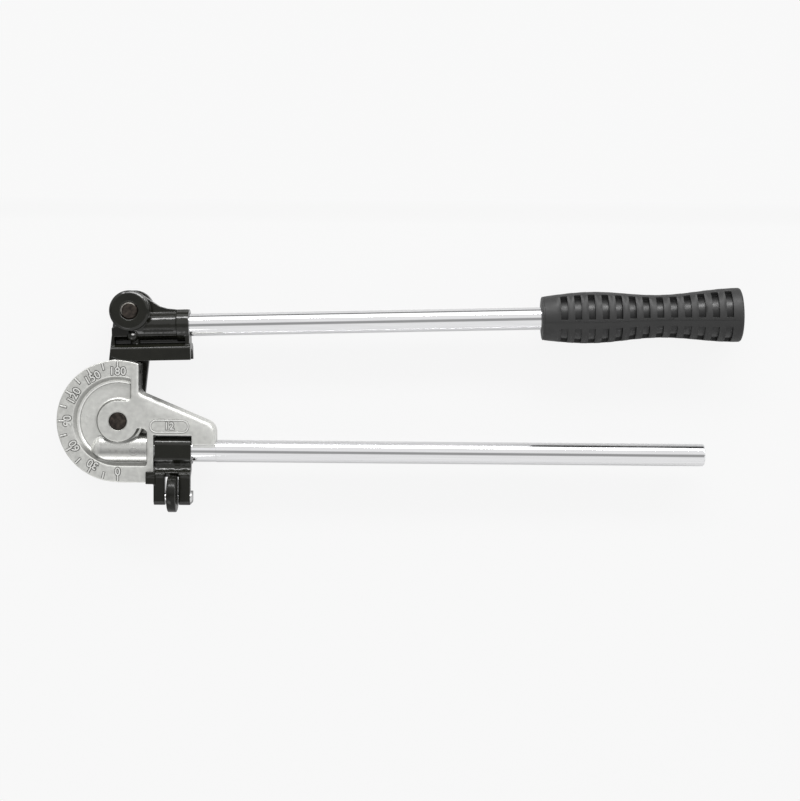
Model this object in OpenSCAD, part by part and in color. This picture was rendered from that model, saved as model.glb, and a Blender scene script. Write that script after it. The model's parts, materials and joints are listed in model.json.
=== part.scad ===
// Lever tube bender for 12 mm tube, in millimetres.
// The tool lies on its back: X runs along the fixed handle, Z points up through the scale,
// and the origin is on the wheel's axis, on the bench.

/* [Tube] */
// Outside diameter of the tube to bend
tube_d = 12; // [11:0.5:12.5]
// Bend radius, to the middle of the tube
bend_r = 38; // [37.5:0.25:39]
// Room between the tube and its grooves, on the radius
tube_room = 0.1; // [0.05:0.05:0.3]

/* [Fits] */
// Room in a turning fit, on the radius
turn_room = 0.05; // [0.02:0.01:0.08]
// Room in a pressed fit, on the radius
press_room = 0.02; // [0.01:0.01:0.04]
// Gap between faces that pass each other
face_gap = 0.4; // [0.3:0.05:0.6]

/* [Forming wheel] */
// Thickness of the wheel and of the shoe
wheel_t = 18; // [17.5:0.25:19]
// Distance from the rim's edge to the middle of the tube
rim_gap = 0.1; // [0.1:0.05:0.6]
// Radius of the hub
hub_r = 12.8; // [12:0.1:13.5]
// Straight right side of the wheel, from its axis
wheel_right = 12.9; // [12:0.1:14]
// End of the straight run of the groove, from the wheel's axis
foot_x = 22.1; // [21:0.1:23]
// Depth of the face recess
recess_depth = 4.2; // [3:0.1:5]
// Radius of the recess at the face
recess_top_r = 28.2; // [27.6:0.1:28.6]
// Radius of the recess at its floor
recess_floor_r = 24.4; // [23.6:0.1:24.8]
// Right wall of the recess, from the wheel's axis
recess_right = 7.6; // [7:0.1:8.5]
// Right wall of the pocket beside the boss
pocket_right = 18.2; // [17.5:0.1:19]
// Depth of the pocket beside the boss
pocket_depth = 12; // [9:0.5:13]
// Height of the raised scale marks
mark_h = 0.4; // [0.2:0.05:0.6]
// Width of a scale mark
mark_w = 1.3; // [1:0.1:1.8]
// Length of a scale mark
mark_l = 4.6; // [3.5:0.1:5.5]
// Degrees from one scale mark to the next
mark_step = 15; // [15, 30]

/* [Arm] */
// Distance of the arm's top edge from the wheel's axis
arm_top = 21.8; // [21:0.1:23]
// Slope of the arm's top edge
arm_slope = 22.75; // [21:0.25:24]
// Rounding of the arm's tip
arm_tip_r = 8; // [6:0.5:9]
// Rounding where the arm leaves the wheel
arm_root_r = 5; // [4:0.5:6]
// Height of the saddle's edge above the handle's axis
saddle_edge = 4.4; // [3.5:0.1:5]
// Length of the saddle that holds the handle
saddle_l = 14.6; // [12:0.2:16]
// Width of the raised plate on the arm
plate_w = 24.6; // [20:0.2:25]
// Height of the raised plate on the arm
plate_h = 8.4; // [7:0.1:8.6]
// Width of the plate's border
plate_border = 0.9; // [0.6:0.1:1.2]

/* [Handles] */
// Outside diameter of both handle tubes
handle_d = 14; // [13.5:0.1:14.4]
// Wall of both handle tubes
handle_wall = 2; // [1.5:0.1:2.5]
// Distance of the fixed handle's axis below the wheel's axis
fixed_drop = 18.8; // [18.4:0.1:19.4]
// Free end of the fixed handle, from the wheel's axis
fixed_end = 367; // [320:1:420]
// Depth of the fixed handle in the wheel, past its axis
fixed_depth = 6; // [4:0.5:8]
// Relief of the fixed handle where it sits in the castings
seat_relief = 0.2; // [0.2:0.05:0.3]
// Chamfer of the fixed handle's free end
end_chamfer = 0.8; // [0.4:0.1:1.2]
// Length of the plug in the fixed handle
plug_l = 10; // [6:1:16]
// Diameter of the spring pins that lock the tubes
lock_pin_d = 3.5; // [3:0.1:4]

/* [Socket boss] */
// Radius of the boss around the fixed handle
boss_r = 8.75; // [8.7:0.05:8.95]
// Straight part of the boss, past the wheel's axis
boss_run = 10.4; // [9:0.2:10.6]
// Boss's axis below the handle's axis
boss_drop = 0.9; // [0.6:0.1:1]

/* [Lever] */
// Opening of the lever from the end of the scale, as stored
lever_open = 1.55; // [0:0.05:3]
// Head pivot, along the handle
pivot_x = 9.5; // [8.5:0.1:10.5]
// Head pivot, above the wheel's axis
pivot_y = 68.8; // [68.2:0.1:70]
// Axis of the lever, below the head pivot
lever_drop = 9.8; // [9.4:0.1:10.2]
// Radius of the head's eye disc and of the link's ends
eye_r = 12.5; // [12:0.1:13]
// Height of the eye disc above the wheel's face
eye_rise = 4; // [3:0.25:5]
// Thickness of the eye disc
eye_disc_t = 4.2; // [3.5:0.1:5]
// Recess of the pivot pin in the eye disc
eye_recess = 0.8; // [0.4:0.1:1.2]
// Thickness of the head's web
web_t = 12; // [11:0.5:14]
// Thickness of the web above the lever's axis
top_web_t = 6; // [5:0.5:8]
// Thickness of the web in its pocket
pocket_t = 3; // [2:0.5:5]
// Height of the web's pocket above the flange
pocket_h = 7; // [5:0.2:7.4]
// Left end of the shoe, from the wheel's axis
shoe_left = -3.3; // [-4:0.1:-2.5]
// Length of the shoe
shoe_l = 49.6; // [48:0.1:51]
// Height of the shoe's flange
shoe_h = 8.2; // [7.6:0.1:8.8]
// Reach of the shoe past the tube's middle
shoe_lap = 0.6; // [0.2:0.05:0.6]
// Height of the sloped top of the flange
shoe_slope = 2; // [1:0.1:2.4]
// Radius of the lever's socket
socket_r = 8.6; // [8.2:0.1:9]
// Radius of the collar at the socket's end
collar_r = 9.8; // [9.2:0.1:10.2]
// Length of the collar
collar_l = 7.6; // [6:0.1:9]
// End of the socket, from the wheel's axis
socket_end = 45.6; // [44.4:0.1:45.8]
// Depth of the lever tube in its socket
socket_depth = 24; // [20:0.5:25]
// Width of the rib under the eye
rib_w = 5.6; // [5:0.2:8]
// Height of the rib above the web
rib_rise = 1.6; // [1:0.1:2.4]
// Width of the walls at the web's two ends
web_wall = 2.6; // [2:0.1:3.2]
// Height of these walls above the web
web_wall_rise = 2; // [1:0.1:2.8]

/* [Grip] */
// Start of the grip, from the wheel's axis
grip_start = 265.6; // [240:0.2:290]
// Length of the grip
grip_l = 125.2; // [122:0.2:136]
// Radius of the grip at its inner end
grip_in_r = 13.5; // [12.5:0.1:14.5]
// Radius of the grip's palm swell
grip_swell_r = 16.1; // [15:0.1:16.5]
// Radius of the grip's waist
grip_waist_r = 13.4; // [12.5:0.1:14.5]
// Radius of the grip's flared end
grip_flare_r = 16.9; // [15.5:0.1:17]
// Length of the domed end
grip_dome = 3; // [2.5:0.25:4]
// Solid rubber past the end of the lever tube
grip_cap = 6.5; // [6:0.5:9]
// Number of windows in a row
window_n = 13; // [9:1:13]
// Distance from one window to the next
window_pitch = 8.5; // [8:0.02:8.6]
// Width of a window
window_w = 4.6; // [3.5:0.1:5.2]
// Depth of a window
window_depth = 2.5; // [1:0.1:2.6]
// First window's middle, from the grip's inner end
window_first = 13.2; // [12:0.1:14]
// Angle that a window covers
window_angle = 70; // [50:1:74]
// Turn of the plain strip from the front
strip_turn = 15; // [0:1:20]

/* [Pivots] */
// Diameter of both pivot pins
pin_d = 11; // [10.5:0.1:11.4]
// Length of the pins behind the link
pin_tail = 1.9; // [1.8:0.05:2.4]
// Depth of the ring's groove in a pin
ring_groove = 0.6; // [0.4:0.05:0.8]
// Thickness of a retaining ring
ring_t = 0.9; // [0.7:0.05:1]
// Outside diameter of a retaining ring
ring_d = 15; // [14:0.2:17]
// Thickness of the link
link_t = 5; // [4:0.25:6]
// Thickness of the washers beside the link
washer_t = 0.6; // [0.5:0.05:0.8]
// Outside diameter of these washers
washer_d = 20; // [17:0.5:22]

/* [Latch] */
// Half height of the latch's knuckle
knuckle_half = 8.5; // [8.3:0.05:8.7]
// Rounding of the knuckle's corners
knuckle_corner = 4.8; // [4.4:0.1:5.4]
// Height of the knuckle's crest above the handle's axis
crest_y = 9.4; // [9:0.05:9.5]
// Width of the knuckle's crest
crest_w = 6; // [5:0.2:6.2]
// Room around the turning knuckle in the arm's notch
notch_room = 0.37; // [0.3:0.01:0.6]
// Length of the knuckle
knuckle_l = 22.8; // [21:0.1:25]
// Room at each end of the knuckle
knuckle_side = 0.55; // [0.4:0.05:0.8]
// Lowest point of the ears, below the wheel's axis
hook_low = 52; // [51:0.1:53]
// Top of the ears, below the wheel's axis
ear_top = 31; // [30:0.1:32]
// Thickness of the ears in front of the tube
ear_t = 5.2; // [4.6:0.1:6]
// Room between the tube and the ears
hook_room = 0.6; // [0.4:0.05:1]
// Width of the left ear
left_ear_w = 7.05; // [6:0.05:7.6]
// Length of the hook under the tube, behind its middle
hook_back = 7; // [5:0.5:8]
// Thickness of the neck that joins knuckle and ears
neck_t = 4.2; // [3.6:0.1:4.2]
// Back of the neck, in front of the tube's middle
neck_back = 2; // [1.8:0.1:3]
// Front of the neck where it meets the ears
neck_dip = 5.8; // [5:0.1:7]
// Lower edge of the neck's lip, below the wheel's axis
neck_low = 34.6; // [34:0.1:34.8]
// Width of the stop lug on the wheel's face
lug_w = 4.9; // [3.6:0.1:5.2]
// Height of the stop lug
lug_h = 7.9; // [6:0.1:8.4]
// Thickness of the stop lug
lug_t = 3; // [2.4:0.1:3.2]

/* [Cam] */
// Radius of the cam disc
cam_r = 11.3; // [10.6:0.1:11.4]
// Width of the cam disc
cam_w = 5.6; // [5:0.1:6]
// Room between the cam disc and the right ear
cam_side = 0.3; // [0.2:0.05:0.6]
// Radius of the spacer ring between the left ear and the cam disc
spacer_r = 2.6; // [2.4:0.1:3]
// Gap between the left ear and the cam disc
cam_gap = 2.7; // [2.2:0.1:3]
// Cam disc's centre in front of its rivet
cam_offset = 7.3; // [7.3:0.1:8]
// Cam disc's centre above its rivet
cam_lift = 2.7; // [2:0.1:2.7]
// Diameter of the rivet
rivet_d = 3.6; // [3.2:0.1:3.8]
// Diameter of the rivet's head
rivet_head_d = 6.4; // [5.6:0.1:7]
// Height of the rivet's head
rivet_head_h = 1.5; // [1:0.1:2]
// Rivet below the wheel's axis
rivet_y = 47; // [46.6:0.1:47.4]
// Rivet in front of the tube's middle
rivet_z = 9; // [8.8:0.1:9.4]

/* [Hidden] */
$fn = 96;
far = 60;
groove_r = tube_d / 2 + tube_room;
rim_r = bend_r - rim_gap;
half = wheel_t / 2;
mid_z = pin_tail + link_t + washer_t + half;
handle_r = handle_d / 2;
seat_r = handle_r - seat_relief;
pin_r = pin_d / 2;
rod_y = -fixed_drop;
floor_z = half - recess_depth;
corner_at = knuckle_half - knuckle_corner;
notch_r = corner_at * sqrt(2) + knuckle_corner + notch_room;
arm_foot = foot_x + knuckle_l + 2 * knuckle_side;
arm_end = arm_foot + saddle_l;
knuckle_x = foot_x + knuckle_side;
up = [sin(arm_slope), cos(arm_slope)];
tip_c = [arm_end - arm_tip_r, (arm_top - arm_tip_r - up[0] * (arm_end - arm_tip_r)) / up[1]];
root_c = [wheel_right + arm_root_r,
          (arm_top + arm_root_r - up[0] * (wheel_right + arm_root_r)) / up[1]];
plate_at = [foot_x + face_gap + plate_w / 2 - 2.6, rod_y + notch_r + 1.2 + plate_h / 2];
shoe_y = bend_r - shoe_lap;
lever_y = pivot_y - lever_drop;
heel_r = sqrt(pivot_x * pivot_x + pivot_y * pivot_y) - rim_r - face_gap;
tube_in = socket_end - socket_depth;
grip_mid = grip_l - grip_dome;
ear_back = groove_r + hook_room;
ear_front = ear_back + ear_t;
cam_x = knuckle_x + left_ear_w + cam_gap;
right_ear_x = cam_x + cam_w + cam_side;
right_ear_w = knuckle_x + knuckle_l - right_ear_x;

// Points on an arc, for the rounded corners of an outline
function arc(c, r, a, b, n = 8) = [for (i = [0 : n]) c + r * [cos(a + (b - a) * i / n),
                                                             sin(a + (b - a) * i / n)]];

// Radius of the grip at a distance from its inner end
swell_at = 31;
waist_at = 73;
function grip_r(s) =
    s < swell_at ? grip_in_r + (grip_swell_r - grip_in_r) * sin(90 * s / swell_at) :
    s < waist_at ? grip_waist_r + (grip_swell_r - grip_waist_r)
                   * (1 + cos(180 * (s - swell_at) / (waist_at - swell_at))) / 2 :
    grip_flare_r - (grip_flare_r - grip_waist_r)
                   * (1 + cos(180 * min(1, (s - waist_at) / (grip_mid - waist_at)))) / 2;

// Everything is drawn about the middle of the tube, then lifted off the bench
module lifted() {
    translate([0, 0, mid_z]) children();
}

// The link, head and lever stand a little short of the end of the scale
module swung() {
    rotate([0, 0, lever_open]) children();
}

// A round bar along X
module bar_x(r, x0, x1) {
    translate([x0, 0, 0]) rotate([0, 90, 0]) cylinder(r = r, h = x1 - x0);
}

// A flat outline between two heights
module slab(z0, z1) {
    translate([0, 0, z0]) linear_extrude(height = z1 - z0) children();
}

// A profile drawn in Y and Z, carried along X
module along_x(x0, x1) {
    translate([x0, 0, 0]) rotate([90, 0, 90]) linear_extrude(height = x1 - x0) children();
}

// Round part of the wheel, with the groove around it
module wheel_disc() {
    difference() {
        slab(-half, half) intersection() {
            circle(r = rim_r);
            polygon([[-far, -far], [0, -far], [0, 0], [wheel_right, 0], [wheel_right, far],
                     [-far, far]]);
        }
        rotate_extrude() translate([bend_r, 0]) circle(r = groove_r);
    }
}

// Straight part below the handle, and the arm above it
module wheel_foot() {
    difference() {
        slab(-half, half) union() {
            translate([0, -rim_r]) square([foot_x, rim_r]);
            polygon(concat(
                [[0, rod_y + notch_r], [arm_foot, rod_y + notch_r],
                 [arm_foot, rod_y + saddle_edge], [arm_end, rod_y + saddle_edge]],
                arc(tip_c, arm_tip_r, 0, 90 - arm_slope),
                arc(root_c, arm_root_r, 270 - arm_slope, 180),
                [[0, root_c[1]]]));
        }
        translate([0, -bend_r, 0]) bar_x(groove_r, -1, far);
    }
}

// Recess between hub and rim, with a sloped outer wall
module ring_recess() {
    intersection() {
        rotate_extrude() polygon([
            [hub_r, floor_z], [recess_floor_r, floor_z],
            [recess_floor_r + (recess_top_r - recess_floor_r) / 3, floor_z + recess_depth / 2],
            [recess_top_r, half], [recess_top_r, half + 1], [hub_r, half + 1]]);
        slab(0, far) polygon([
            [-far, -far], [0, -far], [0, hub_r], [recess_right, hub_r], [recess_right, far],
            [-far, far]]);
    }
}

// Boss around the fixed handle, with a round inner end
module socket_boss() {
    translate([-boss_run, rod_y - boss_drop, 0]) rotate([0, 90, 0]) rotate_extrude() {
        square([boss_r, foot_x + boss_run]);
        intersection() {
            circle(r = boss_r);
            translate([0, -far]) square([far, far]);
        }
    }
}

// Lower part of the recess: a deep pocket under the arm, and a trough beside the boss
module straight_recess() {
    pocket_top = rod_y + boss_r + 5.6;
    along_x(0, pocket_right) polygon([
        [pocket_top, half + 1], [-recess_top_r, half + 1], [-recess_top_r, half],
        [-recess_floor_r - 1.6, floor_z], [rod_y, floor_z], [rod_y, half - pocket_depth],
        [pocket_top, half - pocket_depth]]);
}

module scale_mark(a) {
    rotate([0, 0, -90 - a]) translate([rim_r - mark_l - 0.4, -mark_w / 2, half - 1])
        cube([mark_l, mark_w, mark_h + 1]);
}

// Oblong with round ends
module oblong(w, h) {
    square([w - h, h], center = true);
    for (side = [-1, 1]) translate([side * (w - h) / 2, 0]) circle(d = h);
}

module forming_wheel() {
    color("lightgray") lifted() {
        difference() {
            union() {
                wheel_disc();
                wheel_foot();
            }
            difference() {
                union() {
                    ring_recess();
                    straight_recess();
                }
                slab(-half, half + 1) circle(r = hub_r);
                socket_boss();
            }
            difference() {
                mirror([0, 0, 1]) ring_recess();
                socket_boss();
            }
            translate([0, rod_y, 0]) bar_x(seat_r + press_room, -fixed_depth, far + 10);
            translate([0, 0, -far]) cylinder(r = pin_r + press_room, h = 2 * far);
            translate([recess_right, rod_y, -half - 1])
                cylinder(d = lock_pin_d + 2 * press_room, h = half + 1 + seat_r);
        }
        for (a = [0 : mark_step : 180]) scale_mark(a);
        translate([plate_at[0], plate_at[1], 0]) slab(half - 1, half + mark_h) difference() {
            oblong(plate_w, plate_h);
            oblong(plate_w - 2 * plate_border, plate_h - 2 * plate_border);
        }
    }
}

module fixed_handle_tube() {
    color("silver") lifted() translate([0, rod_y, 0]) difference() {
        translate([-fixed_depth, 0, 0]) rotate([0, 90, 0]) rotate_extrude() polygon([
            [handle_r - handle_wall, 0], [seat_r, 0],
            [seat_r, arm_end + fixed_depth + face_gap],
            [handle_r, arm_end + fixed_depth + face_gap],
            [handle_r, fixed_end + fixed_depth - end_chamfer],
            [handle_r - end_chamfer, fixed_end + fixed_depth],
            [handle_r - handle_wall, fixed_end + fixed_depth]]);
        translate([recess_right, 0, -half - 1])
            cylinder(d = lock_pin_d + 2 * press_room, h = half + 1 + seat_r);
    }
}

module fixed_handle_plug() {
    color("silver") lifted() translate([0, rod_y, 0])
        bar_x(handle_r - handle_wall - press_room, fixed_end - plug_l, fixed_end - 0.2);
}

module fixed_handle_pin() {
    color("gray") lifted() translate([recess_right, rod_y, -boss_r + face_gap])
        cylinder(d = lock_pin_d, h = boss_r + seat_r - face_gap - 0.2);
}

// Pivot pin with a groove near its back end
module pivot_pin(top) {
    translate([0, 0, -mid_z]) rotate_extrude() polygon([
        [0, 0], [pin_r - 0.3, 0], [pin_r, 0.3], [pin_r, pin_tail - ring_t - 0.2],
        [pin_r - ring_groove, pin_tail - ring_t - 0.2], [pin_r - ring_groove, pin_tail],
        [pin_r, pin_tail], [pin_r, mid_z + top - 0.5], [pin_r - 0.5, mid_z + top],
        [0, mid_z + top]]);
}

// Open retaining ring in the groove of a pin
module pivot_ring() {
    translate([0, 0, pin_tail - ring_t - 0.1 - mid_z]) difference() {
        cylinder(d = ring_d, h = ring_t);
        translate([0, 0, -1]) cylinder(r = pin_r - ring_groove + turn_room, h = ring_t + 2);
        translate([-2, 0, -1]) cube([4, ring_d, ring_t + 2]);
    }
}

module pivot_washer() {
    translate([0, 0, -half - washer_t]) difference() {
        cylinder(d = washer_d, h = washer_t);
        translate([0, 0, -1]) cylinder(r = pin_r + turn_room, h = washer_t + 2);
    }
}

module wheel_pivot_pin() {
    color("dimgray") lifted() pivot_pin(half - 0.3);
}

module wheel_pivot_washer() {
    color("silver") lifted() pivot_washer();
}

module wheel_pivot_ring() {
    color("silver") lifted() pivot_ring();
}

module link_bar() {
    span = sqrt(pivot_x * pivot_x + pivot_y * pivot_y);
    lean = atan2(pivot_y, pivot_x);
    color("black") lifted() swung() rotate([0, 0, lean]) difference() {
        translate([0, 0, -half - washer_t - link_t]) union() {
            cylinder(r = eye_r, h = link_t);
            translate([span, 0, 0]) cylinder(r = eye_r, h = link_t);
            translate([0, -eye_r, 0]) cube([span, 2 * eye_r, link_t]);
        }
        for (x = [0, span]) translate([x, 0, -far]) cylinder(r = pin_r + turn_room, h = far);
    }
}

module at_head() {
    lifted() swung() translate([pivot_x, pivot_y, 0]) children();
}

module head_pivot_washer() {
    color("silver") at_head() pivot_washer();
}

module head_pivot_ring() {
    color("silver") at_head() pivot_ring();
}

module head_pivot_pin() {
    color("dimgray") at_head() pivot_pin(half + eye_rise - eye_recess);
}

// Front outline of the head's web, from the shoe up to the eye and the socket
module head_outline() {
    flange_y = shoe_y + shoe_h;
    top_y = lever_y + collar_r;
    polygon([
        [shoe_left + 0.9, flange_y - 1], [socket_end, flange_y - 1],
        [socket_end, top_y], [socket_end - collar_l, top_y],
        [socket_end - collar_l - 6, top_y + 0.7], [socket_end - collar_l - 11, top_y + 2.2],
        [socket_end - collar_l - 16, top_y + 5.6], [pivot_x + 7, pivot_y + 9.4],
        [pivot_x, pivot_y + 10], [pivot_x - 11, pivot_y], [shoe_left + 0.9, flange_y + 6]]);
}

// The web, thinner above the lever's axis, and in a pocket over the flange on both faces
module head_web() {
    left = shoe_left + 0.9 + web_wall;
    slab(-top_web_t / 2, top_web_t / 2) intersection() {
        head_outline();
        translate([-far, lever_y - 1]) square(2 * far);
    }
    difference() {
        slab(-web_t / 2, web_t / 2) intersection() {
            head_outline();
            translate([-far, lever_y - 2 * far]) square(2 * far);
        }
        for (z = [-far, pocket_t / 2]) slab(z, z + far - pocket_t / 2)
            translate([left, shoe_y + shoe_h]) square([socket_end - web_wall - left, pocket_h]);
    }
}

module lever_head() {
    flange_y = shoe_y + shoe_h;
    disc_z = half + eye_rise - eye_disc_t;
    color("black") lifted() swung() difference() {
        union() {
            head_web();
            translate([pivot_x, pivot_y, -half]) cylinder(r = eye_r - 0.8, h = half + disc_z + 1);
            translate([pivot_x, pivot_y, disc_z]) cylinder(r = eye_r, h = eye_disc_t);
            translate([0, lever_y, 0]) bar_x(socket_r, pivot_x, socket_end);
            translate([0, lever_y, 0]) bar_x(collar_r, socket_end - collar_l, socket_end);
            along_x(shoe_left, shoe_left + shoe_l) polygon([
                [shoe_y, -half], [flange_y, -half], [flange_y + shoe_slope, -web_t / 2],
                [flange_y + shoe_slope, web_t / 2], [flange_y, half], [shoe_y, half]]);
            slab(-web_t / 2 - web_wall_rise, web_t / 2 + web_wall_rise) {
                translate([shoe_left + 0.9, flange_y - 1]) square([web_wall, lever_y - flange_y]);
                translate([socket_end - web_wall, flange_y - 1])
                    square([web_wall, lever_y - flange_y]);
            }
            slab(-web_t / 2 - rib_rise, web_t / 2 + rib_rise)
                translate([pivot_x - 1, flange_y - 1]) square([rib_w, lever_y - flange_y]);
        }
        translate([0, bend_r, 0]) bar_x(groove_r, shoe_left - 1, shoe_left + shoe_l + 1);
        slab(-far, far) difference() {
            translate([shoe_left - 1, shoe_y - 1]) square([pivot_x - shoe_left, shoe_h]);
            translate([pivot_x, pivot_y]) circle(r = heel_r);
        }
        translate([0, lever_y, 0]) bar_x(handle_r + press_room, tube_in, socket_end + 1);
        translate([pivot_x, pivot_y, -far]) cylinder(r = pin_r + press_room, h = 2 * far);
        translate([tube_in + socket_depth / 2, lever_y, -far])
            cylinder(d = lock_pin_d + 2 * press_room, h = far + handle_r);
    }
}

module lever_tube() {
    color("silver") lifted() swung() translate([0, lever_y, 0]) difference() {
        bar_x(handle_r, tube_in, grip_start + grip_l - grip_cap);
        bar_x(handle_r - handle_wall, tube_in - 1, grip_start + grip_l);
        translate([tube_in + socket_depth / 2, 0, -far])
            cylinder(d = lock_pin_d + 2 * press_room, h = far + handle_r);
    }
}

module lever_tube_pin() {
    color("gray") lifted() swung()
        translate([tube_in + socket_depth / 2, lever_y, -socket_r + face_gap])
        cylinder(d = lock_pin_d, h = socket_r + handle_r - face_gap - 0.2);
}

module lever_tube_plug() {
    tube_end = grip_start + grip_l - grip_cap;
    color("black") lifted() swung() translate([0, lever_y, 0])
        bar_x(handle_r - handle_wall - press_room, tube_end - plug_l, tube_end - 0.2);
}

module lever_grip() {
    steps = 30;
    inner_r = handle_r + press_room;
    hole_l = grip_l - grip_cap;
    color("dimgray") lifted() swung() translate([grip_start, lever_y, 0]) rotate([0, 90, 0])
    difference() {
        rotate_extrude() polygon(concat(
            [[inner_r, 0]],
            [for (i = [0 : steps]) [grip_r(grip_mid * i / steps), grip_mid * i / steps]],
            [[grip_flare_r - 0.5, grip_mid + grip_dome * 0.4],
             [grip_flare_r - 3, grip_mid + grip_dome * 0.8],
             [grip_flare_r - 7, grip_mid + grip_dome], [0, grip_mid + grip_dome], [0, hole_l],
             [inner_r, hole_l]]));
        for (row = [0 : 3]) rotate([0, 0, 90 * row + 45 - strip_turn - window_angle / 2])
            rotate_extrude(angle = window_angle) for (i = [0 : window_n - 1]) {
                a = window_first + i * window_pitch - window_w / 2;
                b = a + window_w;
                polygon([[grip_r(a) - window_depth, a], [grip_flare_r + 4, a],
                         [grip_flare_r + 4, b], [grip_r(b) - window_depth, b]]);
            }
    }
}

// End view of the knuckle, a square with round corners and a crest
module knuckle_end() {
    translate([0, -crest_w / 2]) square([crest_y, crest_w]);
    square([2 * knuckle_half, 2 * corner_at], center = true);
    square([2 * corner_at, 2 * knuckle_half], center = true);
    for (y = [-corner_at, corner_at], z = [-corner_at, corner_at])
        translate([y, z]) circle(r = knuckle_corner);
}

module latch_hook() {
    neck_turn = 7;
    neck_top = corner_at + sqrt(pow(knuckle_corner, 2) - pow(neck_turn - corner_at, 2)) - 0.2;
    hook_top = bend_r + groove_r + hook_room;
    color("black") lifted() difference() {
        union() {
            along_x(knuckle_x, knuckle_x + knuckle_l) translate([rod_y, 0]) knuckle_end();
            along_x(knuckle_x, knuckle_x + knuckle_l) polygon([
                [rod_y, neck_back], [-ear_top, neck_back], [-ear_top - 2, knuckle_half - neck_t],
                [-neck_low, ear_back - 0.4], [-neck_low, knuckle_half], [-ear_top - 1, knuckle_half],
                [-ear_top, neck_dip], [rod_y - neck_turn, neck_top]]);
            for (ear = [[knuckle_x, left_ear_w], [right_ear_x, right_ear_w]])
                along_x(ear[0], ear[0] + ear[1]) polygon([
                    [-ear_top, ear_front - 1.5], [-ear_top, neck_back],
                    [-ear_top - 2, knuckle_half - neck_t], [-ear_top - 4, ear_back],
                    [-hook_top, ear_back], [-hook_top, -hook_back], [-hook_low + 1, -hook_back],
                    [-hook_low, 1 - hook_back], [-hook_low, ear_front - 2],
                    [-hook_low + 2, ear_front], [-ear_top - 1.5, ear_front]]);
            translate([knuckle_x - lug_w, -ear_top - lug_h, half + face_gap])
                cube([lug_w + 1, lug_h, lug_t]);
        }
        translate([0, rod_y, 0]) bar_x(seat_r + turn_room, 0, far);
        translate([0, -rivet_y, rivet_z]) bar_x(rivet_d / 2 + press_room, 0, far);
    }
}

module latch_cam() {
    color("black") lifted() translate([cam_x, -rivet_y, rivet_z])
    rotate([0, 90, 0]) difference() {
        translate([-cam_offset, cam_lift, 0]) cylinder(r = cam_r, h = cam_w);
        translate([0, 0, -1]) cylinder(r = rivet_d / 2 + turn_room, h = cam_w + 2);
    }
}

// Keeps the cam over beside the right ear
module latch_spacer() {
    color("silver") lifted() translate([knuckle_x + left_ear_w + press_room, -rivet_y, rivet_z])
    rotate([0, 90, 0]) difference() {
        cylinder(r = spacer_r, h = cam_gap - cam_side - press_room);
        translate([0, 0, -1]) cylinder(r = rivet_d / 2 + press_room, h = cam_gap + 2);
    }
}

module latch_rivet() {
    head_r = rivet_head_d / 2;
    color("silver") lifted() translate([knuckle_x, -rivet_y, rivet_z]) rotate([0, 90, 0])
    rotate_extrude() polygon([
        [0, 0], [rivet_d / 2, 0], [rivet_d / 2, knuckle_l], [head_r, knuckle_l],
        [head_r * 0.94, knuckle_l + rivet_head_h * 0.4],
        [head_r * 0.75, knuckle_l + rivet_head_h * 0.75],
        [head_r * 0.4, knuckle_l + rivet_head_h * 0.95], [0, knuckle_l + rivet_head_h]]);
}

forming_wheel();
fixed_handle_tube();
fixed_handle_plug();
fixed_handle_pin();
wheel_pivot_pin();
wheel_pivot_washer();
wheel_pivot_ring();
link_bar();
head_pivot_washer();
head_pivot_ring();
head_pivot_pin();
lever_head();
lever_tube();
lever_tube_pin();
lever_tube_plug();
lever_grip();
latch_hook();
latch_cam();
latch_rivet();
latch_spacer();
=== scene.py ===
# %% [markdown]
# # A lever tube bender
# A hand tool that bends soft metal tube. A cast wheel with a half-round groove sits on a bright
# fixed handle. A black head with a grooved shoe swings round the wheel on a link and carries the
# lever with its rubber grip. A black latch holds the tube on the wheel.
#
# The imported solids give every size. Lengths below are millimetres of that same frame, and one value
# turns them into metres: the tool lies on its back, X along the fixed handle, Z up.

# %% Load the frame
import json
import math

import bpy
from mathutils import Matrix, Vector


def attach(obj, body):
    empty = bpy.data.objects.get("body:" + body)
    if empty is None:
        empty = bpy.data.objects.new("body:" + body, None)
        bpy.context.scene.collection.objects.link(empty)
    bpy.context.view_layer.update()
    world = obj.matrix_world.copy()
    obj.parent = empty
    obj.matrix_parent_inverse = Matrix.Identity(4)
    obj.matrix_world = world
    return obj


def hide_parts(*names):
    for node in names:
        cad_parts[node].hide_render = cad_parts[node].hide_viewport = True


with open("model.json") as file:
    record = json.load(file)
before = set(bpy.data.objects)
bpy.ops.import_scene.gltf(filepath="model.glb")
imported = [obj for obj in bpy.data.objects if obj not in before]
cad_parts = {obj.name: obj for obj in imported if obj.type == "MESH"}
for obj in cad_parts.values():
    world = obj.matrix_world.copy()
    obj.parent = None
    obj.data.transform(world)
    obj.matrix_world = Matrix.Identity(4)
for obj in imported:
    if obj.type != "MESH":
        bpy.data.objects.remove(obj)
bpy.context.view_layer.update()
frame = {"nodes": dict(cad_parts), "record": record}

MM = 0.001

# %% [markdown]
# ## Working by hand, in code
# Operators act on whatever is selected, so each helper clears the selection first. A shape starts
# as a primitive, is shaped in edit mode, and its place is then applied to its mesh, so that every
# finished object sits at the origin.

# %% Selection helpers
def deselect():
    if bpy.context.object and bpy.context.object.mode != "OBJECT":
        bpy.ops.object.mode_set(mode="OBJECT")
    bpy.ops.object.select_all(action="DESELECT")


def pick(piece):
    deselect()
    piece.select_set(True)
    bpy.context.view_layer.objects.active = piece
    return piece


def settle(piece, name):
    pick(piece)
    bpy.ops.object.transform_apply(location=True, rotation=True, scale=True)
    piece.name = name
    return piece


def edit(piece):
    pick(piece)
    bpy.ops.object.mode_set(mode="EDIT")
    bpy.ops.mesh.select_mode(type="VERT")
    bpy.ops.mesh.select_all(action="SELECT")


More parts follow.
